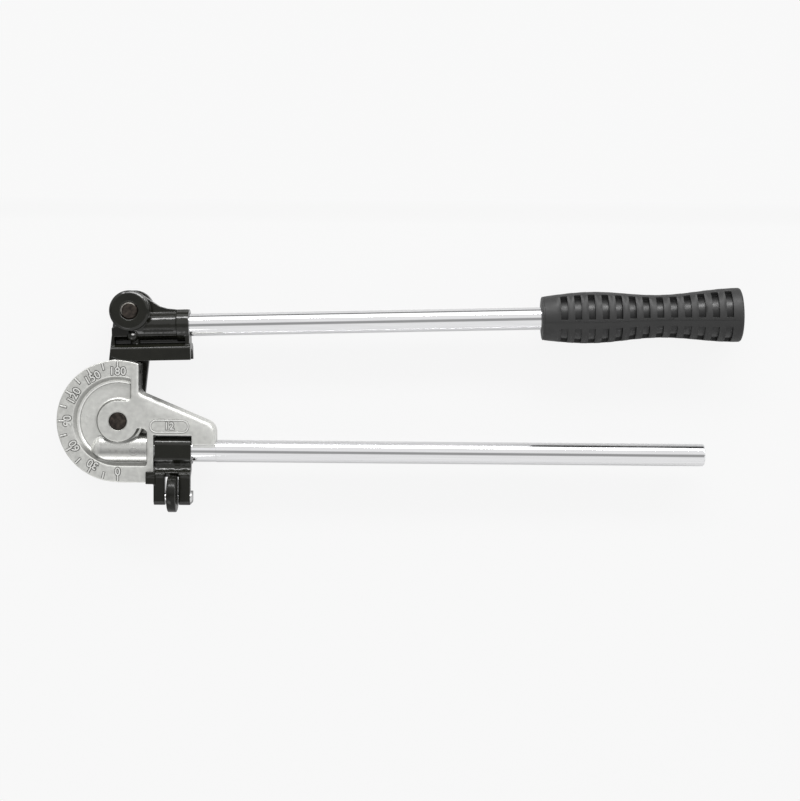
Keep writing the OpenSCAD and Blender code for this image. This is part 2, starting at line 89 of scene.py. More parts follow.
def pick_edges(piece, wanted):
    """Leaves edit mode open on the edges whose two ends, in millimetres, are wanted."""
    edit(piece)
    bpy.ops.mesh.select_mode(type="EDGE")
    bpy.ops.mesh.select_all(action="DESELECT")
    bpy.ops.object.mode_set(mode="OBJECT")
    for line in piece.data.edges:
        line.select = wanted(*(piece.data.vertices[i].co / MM for i in line.vertices))
    bpy.ops.object.mode_set(mode="EDIT")


def close_edit(outwards=True):
    if outwards:
        bpy.ops.mesh.select_all(action="SELECT")
        bpy.ops.mesh.normals_make_consistent(inside=False)
    bpy.ops.object.mode_set(mode="OBJECT")


# %% [markdown]
# ## Four starting shapes
# Most of this tool was turned, drilled or cast, so four starts are enough: a round bar, a block, an
# outline carried along an axis, and a profile turned about an axis. The turned one draws its
# profile point by point with vertex extrusion and then spins it, as on a lathe.

# %% Bars and blocks
def round_bar(name, radius, start, end, sides=128):
    a, b = Vector(start) * MM, Vector(end) * MM
    deselect()
    bpy.ops.mesh.primitive_cylinder_add(
        vertices=sides, radius=radius * MM, depth=(b - a).length, location=(a + b) / 2,
        rotation=(b - a).to_track_quat("Z", "Y").to_euler())
    return settle(bpy.context.object, name)


def block(name, low, high):
    a, b = Vector(low) * MM, Vector(high) * MM
    deselect()
    bpy.ops.mesh.primitive_cube_add(size=1, location=(a + b) / 2, scale=b - a)
    return settle(bpy.context.object, name)


# %% Outlines and profiles
def carried(name, outline, axis, start, end, drift=0):
    """An outline of (y, z) carried along X, or of (x, y) along Z, where it may also drift along Y."""
    deselect()
    bpy.ops.mesh.primitive_circle_add(vertices=len(outline), radius=MM, fill_type="NGON")
    piece = bpy.context.object
    for corner, (u, v) in zip(piece.data.vertices, outline):
        corner.co = Vector((start, u, v) if axis == "X" else (u, v, start)) * MM
    step = (end - start) * MM
    edit(piece)
    bpy.ops.mesh.extrude_region_move(TRANSFORM_OT_translate={
        "value": (step, 0, 0) if axis == "X" else (0, drift * MM, step)})
    close_edit()
    return settle(piece, name)


def turned(name, profile, axis, sides=128):
    """A profile of (along, radius) points, drawn by vertex extrusion and spun about X or Z."""
    points = [Vector((s, 0, r) if axis == "X" else (r, 0, s)) * MM for s, r in profile]
    deselect()
    bpy.ops.mesh.primitive_plane_add(size=MM)
    piece = bpy.context.object
    edit(piece)
    bpy.ops.mesh.merge(type="CENTER")
    bpy.ops.transform.translate(value=points[0])
    for here, there in zip(points, points[1:]):
        bpy.ops.mesh.extrude_vertices_move(TRANSFORM_OT_translate={"value": there - here})
    bpy.ops.mesh.select_all(action="SELECT")
    bpy.ops.mesh.spin(steps=sides, angle=2 * math.pi, center=(0, 0, 0),
                      axis=(1, 0, 0) if axis == "X" else (0, 0, 1))
    bpy.ops.mesh.select_all(action="SELECT")
    bpy.ops.mesh.remove_doubles(threshold=0.002 * MM)
    close_edit()
    return settle(piece, name)


def arc(centre, radius, start, end, steps=14):
    turns = [math.radians(start + (end - start) * i / steps) for i in range(steps + 1)]
    return [(centre[0] + radius * math.cos(a), centre[1] + radius * math.sin(a)) for a in turns]


# %% [markdown]
# ## Moving, copying and cutting
# What repeats is modelled once and copied, and each copy gets its own mesh. Moves go straight into
# the mesh, so the object stays at the origin. A drilled hole is a Boolean difference with a round
# bar, as a drill would leave it. The exact solver copes with faces that lie on each other.

# %% Moving, copying and cutting
def moved(piece, x, y, z):
    piece.data.transform(Matrix.Translation(Vector((x, y, z)) * MM))
    return piece


def copied(piece, change):
    """A copy with its own mesh, moved or turned by a matrix."""
    pick(piece)
    bpy.ops.object.duplicate()
    twin = bpy.context.object
    twin.data.transform(change)
    return twin


def turn_of(degrees, axis="Z"):
    return Matrix.Rotation(math.radians(degrees), 4, axis)


def apply_all(piece):
    pick(piece)
    for modifier in list(piece.modifiers):
        bpy.ops.object.modifier_apply(modifier=modifier.name)
    return piece


def cut(piece, tool, keep_tool=False):
    saw = piece.modifiers.new("cut", "BOOLEAN")
    saw.operation, saw.solver, saw.object = "DIFFERENCE", "EXACT", tool
    apply_all(piece)
    if not keep_tool:
        bpy.data.objects.remove(tool)
    return piece


def joined(name, parts):
    deselect()
    for part in parts:
        part.select_set(True)
    bpy.context.view_layer.objects.active = parts[0]
    bpy.ops.object.join()
    parts[0].name = name
    return parts[0]


# %% [markdown]
# ## Soft edges
# No real edge is sharp, and a rounded one catches the light. A machined piece keeps its own faces
# and gets a Bevel, with normals weighted so that flat faces stay flat. A casting is several rough
# shapes under one skin: Remesh makes the skin, Smooth rounds it as poured metal is round, and
# Decimate thins it. Sculpting would give the same softness, but here every size stays a number.

# %% Soft edges
def smooth_shaded(piece, angle):
    pick(piece)
    bpy.ops.object.shade_smooth_by_angle(angle=math.radians(angle))
    return piece


def softened(piece, angle=40, width=0.4, segments=3):
    bevel = piece.modifiers.new("edges", "BEVEL")
    bevel.limit_method, bevel.angle_limit = "ANGLE", math.radians(angle)
    bevel.width, bevel.segments = width * MM, segments
    smooth_shaded(apply_all(piece), 35)
    flat = piece.modifiers.new("flat_faces", "WEIGHTED_NORMAL")
    flat.keep_sharp = True
    return apply_all(piece)


def cast_skin(piece, voxel, rounds, share):
    """One closed skin over overlapping rough shapes, with the soft edges of a casting."""
    skin = piece.modifiers.new("skin", "REMESH")
    skin.mode, skin.voxel_size, skin.use_smooth_shade = "VOXEL", voxel * MM, True
    soft = piece.modifiers.new("soft", "SMOOTH")
    soft.factor, soft.iterations = 0.5, rounds
    thin = piece.modifiers.new("thin", "DECIMATE")
    thin.ratio = share
    apply_all(piece)
    bpy.ops.object.shade_smooth()
    print(piece.name, len(piece.data.polygons), "faces")
    return piece


# %% [markdown]
# ## Sizes of the wheel
# All other pieces are set against the wheel, and its finish reads some of these sizes too, so they
# come first. They are millimetres from the wheel's axis. MID is the height of the handle's axis
# over the table, HALF is half the wheel's thickness, and FLOOR is the bottom of the sunk face. BEND
# is the radius to which a tube is bent, SEAT the bore for the handle, and TIP and ROOT are the
# arm's two arcs.

# %% Sizes of the wheel
MID, HALF = 16.5, 9.0
FRONT, BACK = MID + HALF, MID - HALF
FLOOR = FRONT - 4.2
RIM, BEND, GROOVE, HUB = 37.9, 38.0, 6.1, 12.8
WHEEL_RIGHT, FOOT = 12.9, 22.1
ROD_Y, SEAT, ARM_FOOT, ARM_END = -18.8, 6.82, 46.0, 60.6
SLOPE, ARM_TOP, TIP, ROOT = 22.75, 21.8, 8.0, 5.0
BOSS, BOSS_Y, BOSS_STRETCH = 8.75, ROD_Y - 0.9, 1.35
PIN_BORE = 5.52
UP_SLOPE = (math.sin(math.radians(SLOPE)), math.cos(math.radians(SLOPE)))
print("wheel:", 2 * RIM, "mm across the rim,", FRONT - BACK, "mm thick")

# %% [markdown]
# ## Finishes
# Each finish is one material made of nodes. A small class wraps a node socket, so that sums and
# products of values can be written as plain expressions. Patterns read object coordinates, in
# metres, and only colour, roughness, metal and bump change over a surface.

# %% Writing shader maths
class Flow:
    def __init__(self, tree, socket):
        self.tree, self.socket = tree, socket

    def maths(self, operation, other, swapped=False):
        node = self.tree.nodes.new("ShaderNodeMath")
        node.operation = operation
        for slot, value in zip(node.inputs, (other, self) if swapped else (self, other)):
            if isinstance(value, Flow):
                self.tree.links.new(value.socket, slot)
            else:
                slot.default_value = value
        return Flow(self.tree, node.outputs[0])

    def __add__(self, other):
        return self.maths("ADD", other)

    def __mul__(self, other):
        return self.maths("MULTIPLY", other)

    def __sub__(self, other):
        return self.maths("SUBTRACT", other)

    def __rsub__(self, other):
        return self.maths("SUBTRACT", other, swapped=True)

    __radd__, __rmul__ = __add__, __mul__


# %% A sheet of nodes
class Sheet:
    """A node tree, with one method for any node and a few for the common ones."""

    def __init__(self, tree, coordinates="Object"):
        self.tree = tree
        self.place = self.node("ShaderNodeTexCoord", out=coordinates)

    def node(self, kind, settings=None, out=0, **sockets):
        made = self.tree.nodes.new(kind)
        for key, value in (settings or {}).items():
            setattr(made, key, value)
        for key, value in sockets.items():
            slot = made.inputs[key.replace("_", " ")]
            if isinstance(value, Flow):
                self.tree.links.new(value.socket, slot)
            else:
                slot.default_value = value
        return Flow(self.tree, made.outputs[out])

    def part(self, axis):
        return self.node("ShaderNodeSeparateXYZ", out=axis, Vector=self.place)

    def noise(self, scale, detail=3.0, stretch=None):
        place = self.place
        if stretch:
            place = self.node("ShaderNodeMapping", Vector=place, Scale=stretch)
        return self.node("ShaderNodeTexNoise", Vector=place, Scale=scale, Detail=detail)

    def mix(self, amount, low, high):
        made = self.tree.nodes.new("ShaderNodeMix")
        made.data_type = "RGBA"
        self.tree.links.new(amount.socket, made.inputs[0])
        for slot, value in ((made.inputs[6], low), (made.inputs[7], high)):
            if isinstance(value, Flow):
                self.tree.links.new(value.socket, slot)
            else:
                slot.default_value = (*value, 1)
        return Flow(self.tree, made.outputs[2])

    def patchy(self, scale, low, high, start=0.3):
        """Two colours in soft patches."""
        return self.mix(self.band(self.noise(scale), start, 0.7), low, high)

    def band(self, value, low, high):
        """Rises from nought to one between two values, and falls where the first is the larger."""
        return self.node("ShaderNodeMapRange", Value=value, From_Min=low, From_Max=high)

    def between(self, value, low, high, soft=0.3):
        """One inside a range of millimetres, falling to nought over a soft edge outside it."""
        return (self.band(value, (low - soft) * MM, low * MM)
                * self.band(value, (high + soft) * MM, high * MM))


# %% A finish
class Finish(Sheet):
    """A material: constants on the shader, and patterns that feed a few of its sockets."""

    def __init__(self, name, **constants):
        self.material = bpy.data.materials.new(name)
        self.material.use_nodes = True
        super().__init__(self.material.node_tree)
        self.shader = self.tree.nodes["Principled BSDF"]
        for socket, value in constants.items():
            self.shader.inputs[socket.replace("_", " ")].default_value = value

    def feed(self, **sockets):
        for key, value in sockets.items():
            self.tree.links.new(value.socket, self.shader.inputs[key.replace("_", " ")])

    def bump(self, height, strength, distance):
        self.feed(Normal=self.node("ShaderNodeBump", Height=height, Strength=strength,
                                   Distance=distance * MM))


# %% [markdown]
# ### Cast aluminium
# The wheel is a die casting that was tumbled and left bare: light grey, satin, faintly mottled,
# with a fine grain that catches the light. A low-contrast noise varies colour and roughness
# together. Light and shade are also painted into its colour, by two places: the distance from the
# wheel's axis, and the depth below its nearer face. The floor of the sunk face is painted lighter,
# as painted light.

# %% Cast aluminium
cast = Finish("cast_aluminium")
mottle = cast.band(cast.noise(420), 0.35, 0.7)
x, y, z = (cast.part(axis) for axis in "XYZ")
depth = HALF * MM - (z - MID * MM).maths("ABSOLUTE", 0)
from_axis = (x * x + y * y).maths("SQRT", 0)
bare = cast.mix(mottle, (0.64, 0.642, 0.616), (0.70, 0.702, 0.672))
sunk_low = cast.between(depth, 3.8, 4.6, 0.6)
# The floor of the sunk face is painted lighter here: painted light.
bare = cast.mix(0.5 * sunk_low, bare, (0.80, 0.802, 0.77))
print("bare casting:", len(cast.tree.nodes), "nodes")

# %% [markdown]
# The sloping wall round the sunk face runs straight on below the boss, so its own distance ignores
# X there. Its upper half is painted darker, as painted shade, and it is rougher there. Its foot is
# painted lighter, as a painted highlight. Below the boss all of the wall is painted dark, as painted
# shade, and the hub's wall is painted dark too, as painted shade.

# %% Painted shade and highlight on the rings of the sunk face
x_round = x.maths("MINIMUM", y.maths("GREATER_THAN", 0))
from_wall = (x_round * x_round + y * y).maths("SQRT", 0)
on_slope = cast.band(depth, 0.1 * MM, 0.4 * MM)
lower = cast.band(y, -13 * MM, -19 * MM)
slope_shade = cast.between(from_wall, 26.1, 28.6, 0.5) * on_slope
slope_foot_highlight = cast.between(from_wall, 24.4, 25.6) * on_slope
low_wall_shade = cast.between(from_wall, 25.5, 28.6, 0.5) * on_slope * lower
hub_wall_shade = cast.between(from_axis, HUB - 0.3, HUB + 0.9, 0.2) * cast.between(depth, 0.15, 3.8, 0.1)
hub_wall_shade = hub_wall_shade * (1.0 - 0.5 * cast.band(y, -7 * MM, -10 * MM))
# Painted shade on the upper slope, below the boss and on the hub's wall; a painted highlight at the
# slope's foot.
bare = cast.mix(0.85 * slope_shade, bare, (0.38, 0.38, 0.366))
bare = cast.mix(0.9 * slope_foot_highlight * (1.0 - lower), bare, (0.92, 0.92, 0.90))
bare = cast.mix(0.9 * low_wall_shade, bare, (0.17, 0.17, 0.16))
bare = cast.mix(0.85 * hub_wall_shade, bare, (0.13, 0.13, 0.125))
print("with the rings:", len(cast.tree.nodes), "nodes")

# %% [markdown]
# The arm's upper edge and the wheel's right edge are painted lighter, as a painted highlight. Below
# them the walls beside the link are painted dark, as painted shade and a painted reflection of the
# link. A place up the arm's slope finds the one, and X finds the other.

# %% Edges and walls beside the link
up_slope = UP_SLOPE[0] * x + UP_SLOPE[1] * y
right_of_wheel = cast.band(x, 15 * MM, 19 * MM)
edge_highlight = cast.band(up_slope, 12.5 * MM, 18 * MM) * right_of_wheel
edge_highlight = edge_highlight + cast.band(x, 11.2 * MM, 12 * MM) * cast.band(y, 14 * MM, 17 * MM)
edge_highlight = edge_highlight * cast.band(depth, 0.6 * MM, 0.2 * MM)
arm_wall_shade = cast.band(up_slope, 20.8 * MM, 21.4 * MM) * right_of_wheel * cast.band(x, 40 * MM, 26 * MM)
wheel_side_shade = (cast.band(x, 12.3 * MM, 12.6 * MM) * cast.band(y, 17 * MM, 20 * MM)
              * cast.band(depth, 0.5 * MM, 1 * MM))
# A painted highlight along the edges, then painted shade and reflection on the walls beside the link.
bare = cast.mix(0.6 * edge_highlight, bare, (0.86, 0.86, 0.83))
bare = cast.mix(0.8 * arm_wall_shade * cast.band(depth, 1.2 * MM, 2.4 * MM), bare, (0.16, 0.16, 0.15))
bare = cast.mix(0.9 * wheel_side_shade, bare, (0.05, 0.05, 0.047))
print("with the arm:", len(cast.tree.nodes), "nodes")

# %% [markdown]
# The boss is smoother and all metal, and its colour is painted darker, as painted shade that is
# deepest along its top. Its upper half is drawn out towards the hub, so the mask squeezes that half
# back before it measures the distance from the boss's axis.

# %% Boss
beside, above = y - BOSS_Y * MM, z - MID * MM
beside = beside.maths("MAXIMUM", 0) * (1 / BOSS_STRETCH) + beside.maths("MINIMUM", 0)
off_boss = (beside * beside + above * above).maths("SQRT", 0)
boss_skin = cast.between(off_boss, BOSS - 0.35, BOSS + 0.25) * cast.between(x, -11, 18, 2.0)
# The boss's colour is painted darker, most along its top: painted shade.
bare = cast.mix(0.6 * boss_skin, bare, (0.50, 0.50, 0.485))
bare = cast.mix(0.8 * boss_skin * cast.band(y, -16 * MM, -12.5 * MM), bare, (0.30, 0.30, 0.29))
print("with the boss:", len(cast.tree.nodes), "nodes")

# %% [markdown]
# Painted shade darkens the corner round the sunk face, the corner along its right wall, the gap
# round the pin and the deepest part inside. A noise breaks it up. Then everything feeds the shader,
# with a fine bump for the grain.

# %% Painted shade, and the finish put together
corner_line = cast.between(from_wall, 23.75, 24.1, 0.25) * sunk_low
side_line = cast.between(x, 7.2, 8.4) * cast.band(y, 13 * MM, 14 * MM) * sunk_low
pin_gap = cast.band(from_axis, 6.4 * MM, 5.7 * MM) * cast.band(depth, 1.6 * MM, 0.8 * MM)
deep = cast.band(depth, 6.0 * MM, 8.5 * MM) * cast.band(from_axis, 24 * MM, 21 * MM)
# Painted shade in the corners, round the pin and deep inside.
painted_shade = (0.8 * corner_line + 0.9 * side_line + pin_gap + deep) * (0.45 + 0.35 * cast.noise(500))
cast.feed(Base_Color=cast.mix(painted_shade, bare, (0.10, 0.098, 0.088)), Metallic=0.75 + 0.25 * boss_skin,
          Roughness=0.36 + 0.1 * mottle + 0.15 * slope_shade + 0.3 * low_wall_shade - 0.10 * boss_skin)
cast.bump(cast.noise(2600, 2) + cast.noise(800, 2) * 0.6, 0.2, 0.1)
print("cast aluminium:", len(cast.tree.nodes), "nodes")

# %% [markdown]
# ### Chrome
# Both handles are chromed: a clean mirror with the faintest haze. The noise is stretched along X,
# so that the haze runs along the tubes as polishing leaves it.

# %% Chrome
chrome = Finish("chrome", Metallic=1.0)
haze = chrome.band(chrome.noise(900, 2, (0.03, 1.0, 1.0)), 0.3, 0.75)
chrome.feed(Base_Color=chrome.mix(haze, (0.80, 0.80, 0.81), (0.87, 0.87, 0.88)),
            Roughness=0.05 + 0.05 * haze)
print("chrome:", len(chrome.tree.nodes), "nodes")

# %% [markdown]
# ### Black paint
# Head, latch and link carry thick gloss paint with orange peel, which is a bump of two noises. The
# paint ran round the latch's neck, so a third noise makes the highlight waver there. One small spot
# on the head's rib is painted bright and metallic, as a painted glint: a mask round one place, a
# little flattened.

# %% Black paint
GLINT_SPOT = (9.6, 54.3, 25.8)
paint = Finish("black_paint", IOR=1.5)
thick = paint.between(paint.part("Y"), -33, -27, 2.0)
peel = paint.noise(520, 2) * 0.4 + paint.noise(170, 1) + 3.0 * thick * paint.noise(330, 1)
black = paint.patchy(90, (0.006, 0.0061, 0.0042), (0.010, 0.0102, 0.0072))
# A small spot painted bright and metallic: a painted glint on the rib's nose.
aside, along, height = (paint.part(axis) - at * MM for axis, at in zip("XYZ", GLINT_SPOT))
off_spot = (aside * aside * 0.5 + along * along + height * height).maths("SQRT", 0)
painted_glint = paint.band(off_spot, 0.8 * MM, 0.5 * MM)
paint.feed(Base_Color=paint.mix(painted_glint, black, (0.85, 0.85, 0.83)), Metallic=0.5 * painted_glint,
           Roughness=0.09 + 0.1 * paint.band(paint.noise(420), 0.35, 0.7))
paint.bump(peel, 0.3, 0.5)
print("paint:", len(paint.tree.nodes), "nodes")

# %% [markdown]
# ### Rubber
# The grip is matt, with a moulded grain. Its windows came off smooth steel, so a mark on their
# faces, made with the grip, turns them smoother; the same mark paints them blacker, as painted shade.

# %% Rubber
rubber = Finish("black_rubber", Metallic=0.0, IOR=1.52)
window_shade = rubber.node("ShaderNodeAttribute", {"attribute_name": "sunk"}, out="Fac")
plain = rubber.patchy(60, (0.014, 0.014, 0.014), (0.021, 0.021, 0.021))
# The windows are painted blacker the deeper they lie: painted shade.
rubber.feed(Base_Color=rubber.mix(window_shade, plain, (0.004, 0.004, 0.004)),
            Roughness=0.5 + 0.12 * rubber.band(rubber.noise(240), 0.3, 0.7) - 0.2 * window_shade)
rubber.bump(rubber.noise(2400, 2), 0.3, 0.1)
print("rubber:", len(rubber.tree.nodes), "nodes")

# %% [markdown]
# ### Small steel parts
# The pins are blackened steel, a little brown where the black is thin. The pin in the head's eye
# stands out a little, and its upper left edge is painted bright, as a painted highlight. The latch's
# round piece has a less glossy black, and its rivet is plated.

# %% Small steel parts
blacked = Finish("dark_pin", Metallic=0.6)
rub = blacked.band(blacked.noise(500), 0.35, 0.7)
brown = blacked.mix(rub, (0.020, 0.016, 0.013), (0.055, 0.044, 0.036))
upper_left = 0.8 * blacked.part("Y") - 0.6 * blacked.part("X")
pin_edge = blacked.between(blacked.part("Z"), 28.0, 29.0, 0.1)
# The pin's upper left edge is painted bright: a painted highlight.
pin_highlight = pin_edge * blacked.band(upper_left, 50.6 * MM, 53.5 * MM)
blacked.feed(Base_Color=blacked.mix(pin_highlight, brown, (0.62, 0.60, 0.55)), Roughness=0.38 + 0.2 * rub)
blacked.bump(blacked.noise(1500, 2), 0.15, 0.05)

oxide = Finish("black_oxide", IOR=1.5, Specular_IOR_Level=0.25)
oxide.feed(Base_Color=oxide.patchy(300, (0.006, 0.0061, 0.005), (0.012, 0.0122, 0.010)),
           Roughness=0.18 + 0.12 * oxide.band(oxide.noise(500), 0.35, 0.7))
oxide.bump(oxide.noise(700, 2), 0.2, 0.1)

plated = Finish("zinc", Metallic=1.0)
clouded = plated.band(plated.noise(600), 0.3, 0.7)
plated.feed(Base_Color=plated.mix(clouded, (0.66, 0.66, 0.66), (0.78, 0.78, 0.78)),
            Roughness=0.22 + 0.16 * clouded)
print("small steel parts:", len(blacked.tree.nodes), "nodes for the pins")

# %% [markdown]
# ### Tops and edges of raised numbers
# Hands rub the tops of raised numbers bright, so one finish is for the tops. A dark one, for a lower
# and slightly larger copy round each, paints the corner round them dark, as painted shade.

# %% Tops and edges
bright = Finish("bright_face", Metallic=0.4)
bright.feed(Base_Color=bright.patchy(420, (0.60, 0.60, 0.58), (0.68, 0.68, 0.66), start=0.35),
            Roughness=0.45 + 0.1 * bright.noise(900))
outline_shade = Finish("dark_edge", Metallic=0.0)
# A dark finish for the copies round raised marks: painted shade.
outline_shade.feed(Base_Color=outline_shade.patchy(300, (0.045, 0.044, 0.041), (0.10, 0.098, 0.092)),
           Roughness=0.55 + 0.1 * outline_shade.noise(900))
print("tops and edges:", bright.material.name, outline_shade.material.name)

# %% [markdown]
# ### Finishes of the solids
# The part's record names a finish for every solid. Washers, rings, plugs, lock pins and the spacer
# are small and plain, so they keep the shape of their solids and only get a finish here.

# %% Finishes of the solids
SLOTS = {"cast_aluminium": cast, "chrome": chrome, "black_paint": paint, "black_rubber": rubber,
         "dark_pin": blacked, "zinc": plated}
for part in frame["record"]["subparts"]:
    mesh = frame["nodes"][part["node"]].data
    mesh.materials.clear()
    mesh.materials.append(SLOTS[part["material_slot"]].material)
print("finishes:", ", ".join(SLOTS))


# %% [markdown]
# ## Handing a piece to the frame
# A finished piece rides on one moving body, belongs to one finish and takes the place of the solid
# that it shows. One helper does all three, so that no piece is forgotten.

# %% Handing a piece to the frame
def hand_over(piece, body, slot, *nodes, finish=None):
    piece.data.materials.clear()
    piece.data.materials.append((finish or SLOTS[slot]).material)
    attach(piece, body)
    if nodes:
        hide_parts(*nodes)
    return piece


# %% [markdown]
# ## The forming wheel
# One aluminium casting: a disc with a half-round groove round its rim, a straight foot below, a
# raised hub, a sunk face, a boss that takes the fixed handle, and an arm that braces it. It could
# be modelled as one cage of faces, but castings have soft edges everywhere, so rough shapes are cut
# and joined first and then covered by one skin that is slightly smoothed.
#
# The disc is a round bar. Two blocks cut its right side and the corner below, and a torus cuts the
# groove.

# %% Disc
disc = round_bar("disc", RIM + 0.2, (0, 0, BACK), (0, 0, FRONT), 256)
cut(disc, block("side", (WHEEL_RIGHT, 0, 0), (60, 60, 40)))
cut(disc, block("corner", (0.5, -60, 0), (60, 1, 40)))
deselect()
bpy.ops.mesh.primitive_torus_add(major_radius=BEND * MM, minor_radius=GROOVE * MM,
                                 major_segments=256, minor_segments=64)
cut(disc, moved(settle(bpy.context.object, "ring"), 0, 0, MID))
print("disc:", len(disc.data.polygons), "faces")

# %% [markdown]
# The arm is one outline with two arcs, a convex one at its tip and a hollow one where it meets the
# wheel. Both arcs touch the sloping upper edge, which is a given distance from the wheel's axis, so
# their centres follow from it. A wide bevel then rounds only the upper edges, picked by their
# place.

# %% Arm
tip_x, root_x = ARM_END - TIP, WHEEL_RIGHT + ROOT
tip_at = (tip_x, (ARM_TOP - TIP - UP_SLOPE[0] * tip_x) / UP_SLOPE[1])
root_at = (root_x, (ARM_TOP + ROOT - UP_SLOPE[0] * root_x) / UP_SLOPE[1])
arm = carried("arm", [(0, -8.4), (ARM_FOOT, -8.4), (ARM_FOOT, ROD_Y + 4.4), (ARM_END, ROD_Y + 4.4)]
              + arc(tip_at, TIP, 0, 90 - SLOPE) + arc(root_at, ROOT, 270 - SLOPE, 180)
              + [(0, root_at[1])], "Z", BACK, FRONT)


def upper_edge(a, b):
    flat = abs(a.z - b.z) < 0.01 and min(a.x, b.x) > WHEEL_RIGHT - 0.01
    lower = max(a.y, b.y) < ROD_Y + 4.5 or max(a.y, b.y) < -8 and max(a.x, b.x) < ARM_END - 1
    return flat and not lower


pick_edges(arm, upper_edge)
bpy.ops.mesh.bevel(offset=2.6 * MM, segments=8, affect="EDGES")
close_edit()
print("arm: tip at", [round(v, 1) for v in tip_at], "root at", [round(v, 1) for v in root_at])

# %% [markdown]
# Below the axis the groove runs straight on, for the part of the tube that is held. That is a block
# with a round bar cut out of it.

# %% Foot
foot = block("foot", (0, -RIM - 0.4, BACK), (FOOT, 1, FRONT))
cut(foot, round_bar("run", GROOVE, (-1, -BEND, MID), (40, -BEND, MID)))
print("foot:", len(foot.data.polygons), "faces")

# %% [markdown]
# The hub and the boss stand in the sunk face. They are turned here as tools, which keep their own
# room free when the sunk shapes are cut. The hub is the same at the front and at the back. The boss
# has a round nose, and its upper half is drawn out towards the hub.

# %% Hub and boss
BOSS_END = 30


def to_back(profile):
    """The same profile on the wheel's other side."""
    return [(2 * MID - z, r) for z, r in profile]


fillet = [(FRONT + 9, HUB), (FRONT, HUB), (FLOOR + 1.8, HUB + 0.3), (FLOOR + 0.8, HUB + 0.7),
          (FLOOR + 0.2, HUB + 1.4), (FLOOR - 0.1, HUB + 2.4)]
hub = turned("hub", [(FRONT + 9, 0)] + fillet + to_back(reversed(fillet)) + [(BACK - 9, 0)], "Z", 192)
boss = turned("boss", [(-19.2, 0), (-18.8, 2.6), (-17.6, 5.0), (-16.2, 6.5), (-14.4, 7.7),
                       (-12.2, 8.5), (-10, BOSS), (BOSS_END, BOSS), (BOSS_END, 0)], "X")
for corner in boss.data.vertices:
    corner.co.y *= BOSS_STRETCH if corner.co.y > 0 else 1
moved(boss, 0, BOSS_Y, MID)
print("hub and boss:", 2 * HUB, "and", 2 * BOSS, "mm thick")

# %% [markdown]
# The sunk face has a sloping wall with a soft foot and lip, so its profile is turned. Blocks then
# cut the turned shape away where the wheel stays whole, and small corner tools round its corners.
# The upper one leans outwards, as the wall does there.

# %% Sunk face, front and back
wall = [(FLOOR, 0), (FLOOR, 24.0), (FLOOR + 0.15, 24.5), (FLOOR + 0.6, 25.05), (FLOOR + 1.4, 25.7),
        (FLOOR + 2.6, 26.55), (FRONT - 0.8, 27.3), (FRONT - 0.3, 27.8), (FRONT, 28.5),
        (FRONT + 2, 28.6), (FRONT + 2, 0)]
front_sunk = turned("front_sunk", wall, "Z", 192)
back_sunk = turned("back_sunk", to_back(wall), "Z", 192)
lower_corner = [(6.1, 11.5)] + arc((5.9, 15.2), 2.4, 275, 355, 8) + [(9.7, 15), (9.7, 11.5)]
upper_corner = arc((5.9, 20.4), 2.4, 3, 70, 8) + [(7.3, 25.1), (10.7, 24.9), (10.7, 20.5)]
for sunk, low, high in ((front_sunk, FLOOR - 0.5, FRONT + 2.5),
                        (back_sunk, 2 * MID - FLOOR + 0.5, BACK - 2.5)):
    cut(sunk, block("right", (8.3, -40, 0), (40, 60, 40)))
    cut(sunk, block("below", (-0.3, -40, 0), (40, 12.8, 40)))
    cut(sunk, carried("lower_corner", lower_corner, "Z", low, high))
    cut(sunk, carried("upper_corner", upper_corner, "Z", low, high, drift=7.7))
print("sunk face:", len(front_sunk.data.polygons), "faces at the front")

# %% [markdown]
# To the right of the axis the sunk face runs on as a straight trough, on both sides of the boss. It
# is the same wall, carried along X instead of turned. Hub and boss keep their room in all three
# shapes, which then cut the disc, the foot and the arm.

# %% Trough, and the cutting
trough = carried("trough", [(-4.4, FRONT + 2)] + [(-r, z) for z, r in reversed(wall[1:-1])]
                 + [(ROD_Y, FLOOR), (ROD_Y, FRONT - 12), (-4.4, FRONT - 12)], "X", -0.5, 18.2)
lobe_corner = arc((14.9, -7.7), 3.3, 4, 86, 8) + [(15.3, -3), (21, -3), (21, -7.5)]
trough_corner = arc((15.8, -21.1), 2.4, -3, -87, 8) + [(16, -27), (21, -27), (21, -21.2)]
cut(trough, carried("lobe_corner", lobe_corner, "Z", 5, FRONT + 3))
cut(trough, carried("trough_corner", trough_corner, "Z", FLOOR - 0.5, FRONT + 2.5, drift=-7.7))
for sunk in (front_sunk, back_sunk, trough):
    cut(sunk, hub, keep_tool=True)
    cut(sunk, boss, keep_tool=True)
for shape in (disc, foot, arm):
    for sunk in (front_sunk, back_sunk, trough):
        cut(shape, sunk, keep_tool=True)
print("trough:", len(trough.data.polygons), "faces")

# %% [markdown]
# Last come the bores for the handle and the pivot pin. Then the tools are thrown away, and one skin
# covers disc, foot and arm.

# %% Bores, then one skin
handle_bore = round_bar("handle_bore", SEAT, (-6, ROD_Y, MID), (90, ROD_Y, MID))
pin_bore = round_bar("pin_bore", PIN_BORE, (0, 0, -5), (0, 0, 40))
for shape in (disc, foot, arm):
    cut(shape, handle_bore, keep_tool=True)
    cut(shape, pin_bore, keep_tool=True)
for tool in (hub, boss, front_sunk, back_sunk, trough, handle_bore, pin_bore):
    bpy.data.objects.remove(tool)
wheel = cast_skin(joined("wheel_casting", [disc, foot, arm]), 0.32, 3, 0.32)
hand_over(wheel, "frame", "cast_aluminium", "forming_wheel")

# %% [markdown]
# The pins that pushed the casting out of its mould left three faint round marks. Each is a thin
# ring, turned from a small closed profile and let into the surface.

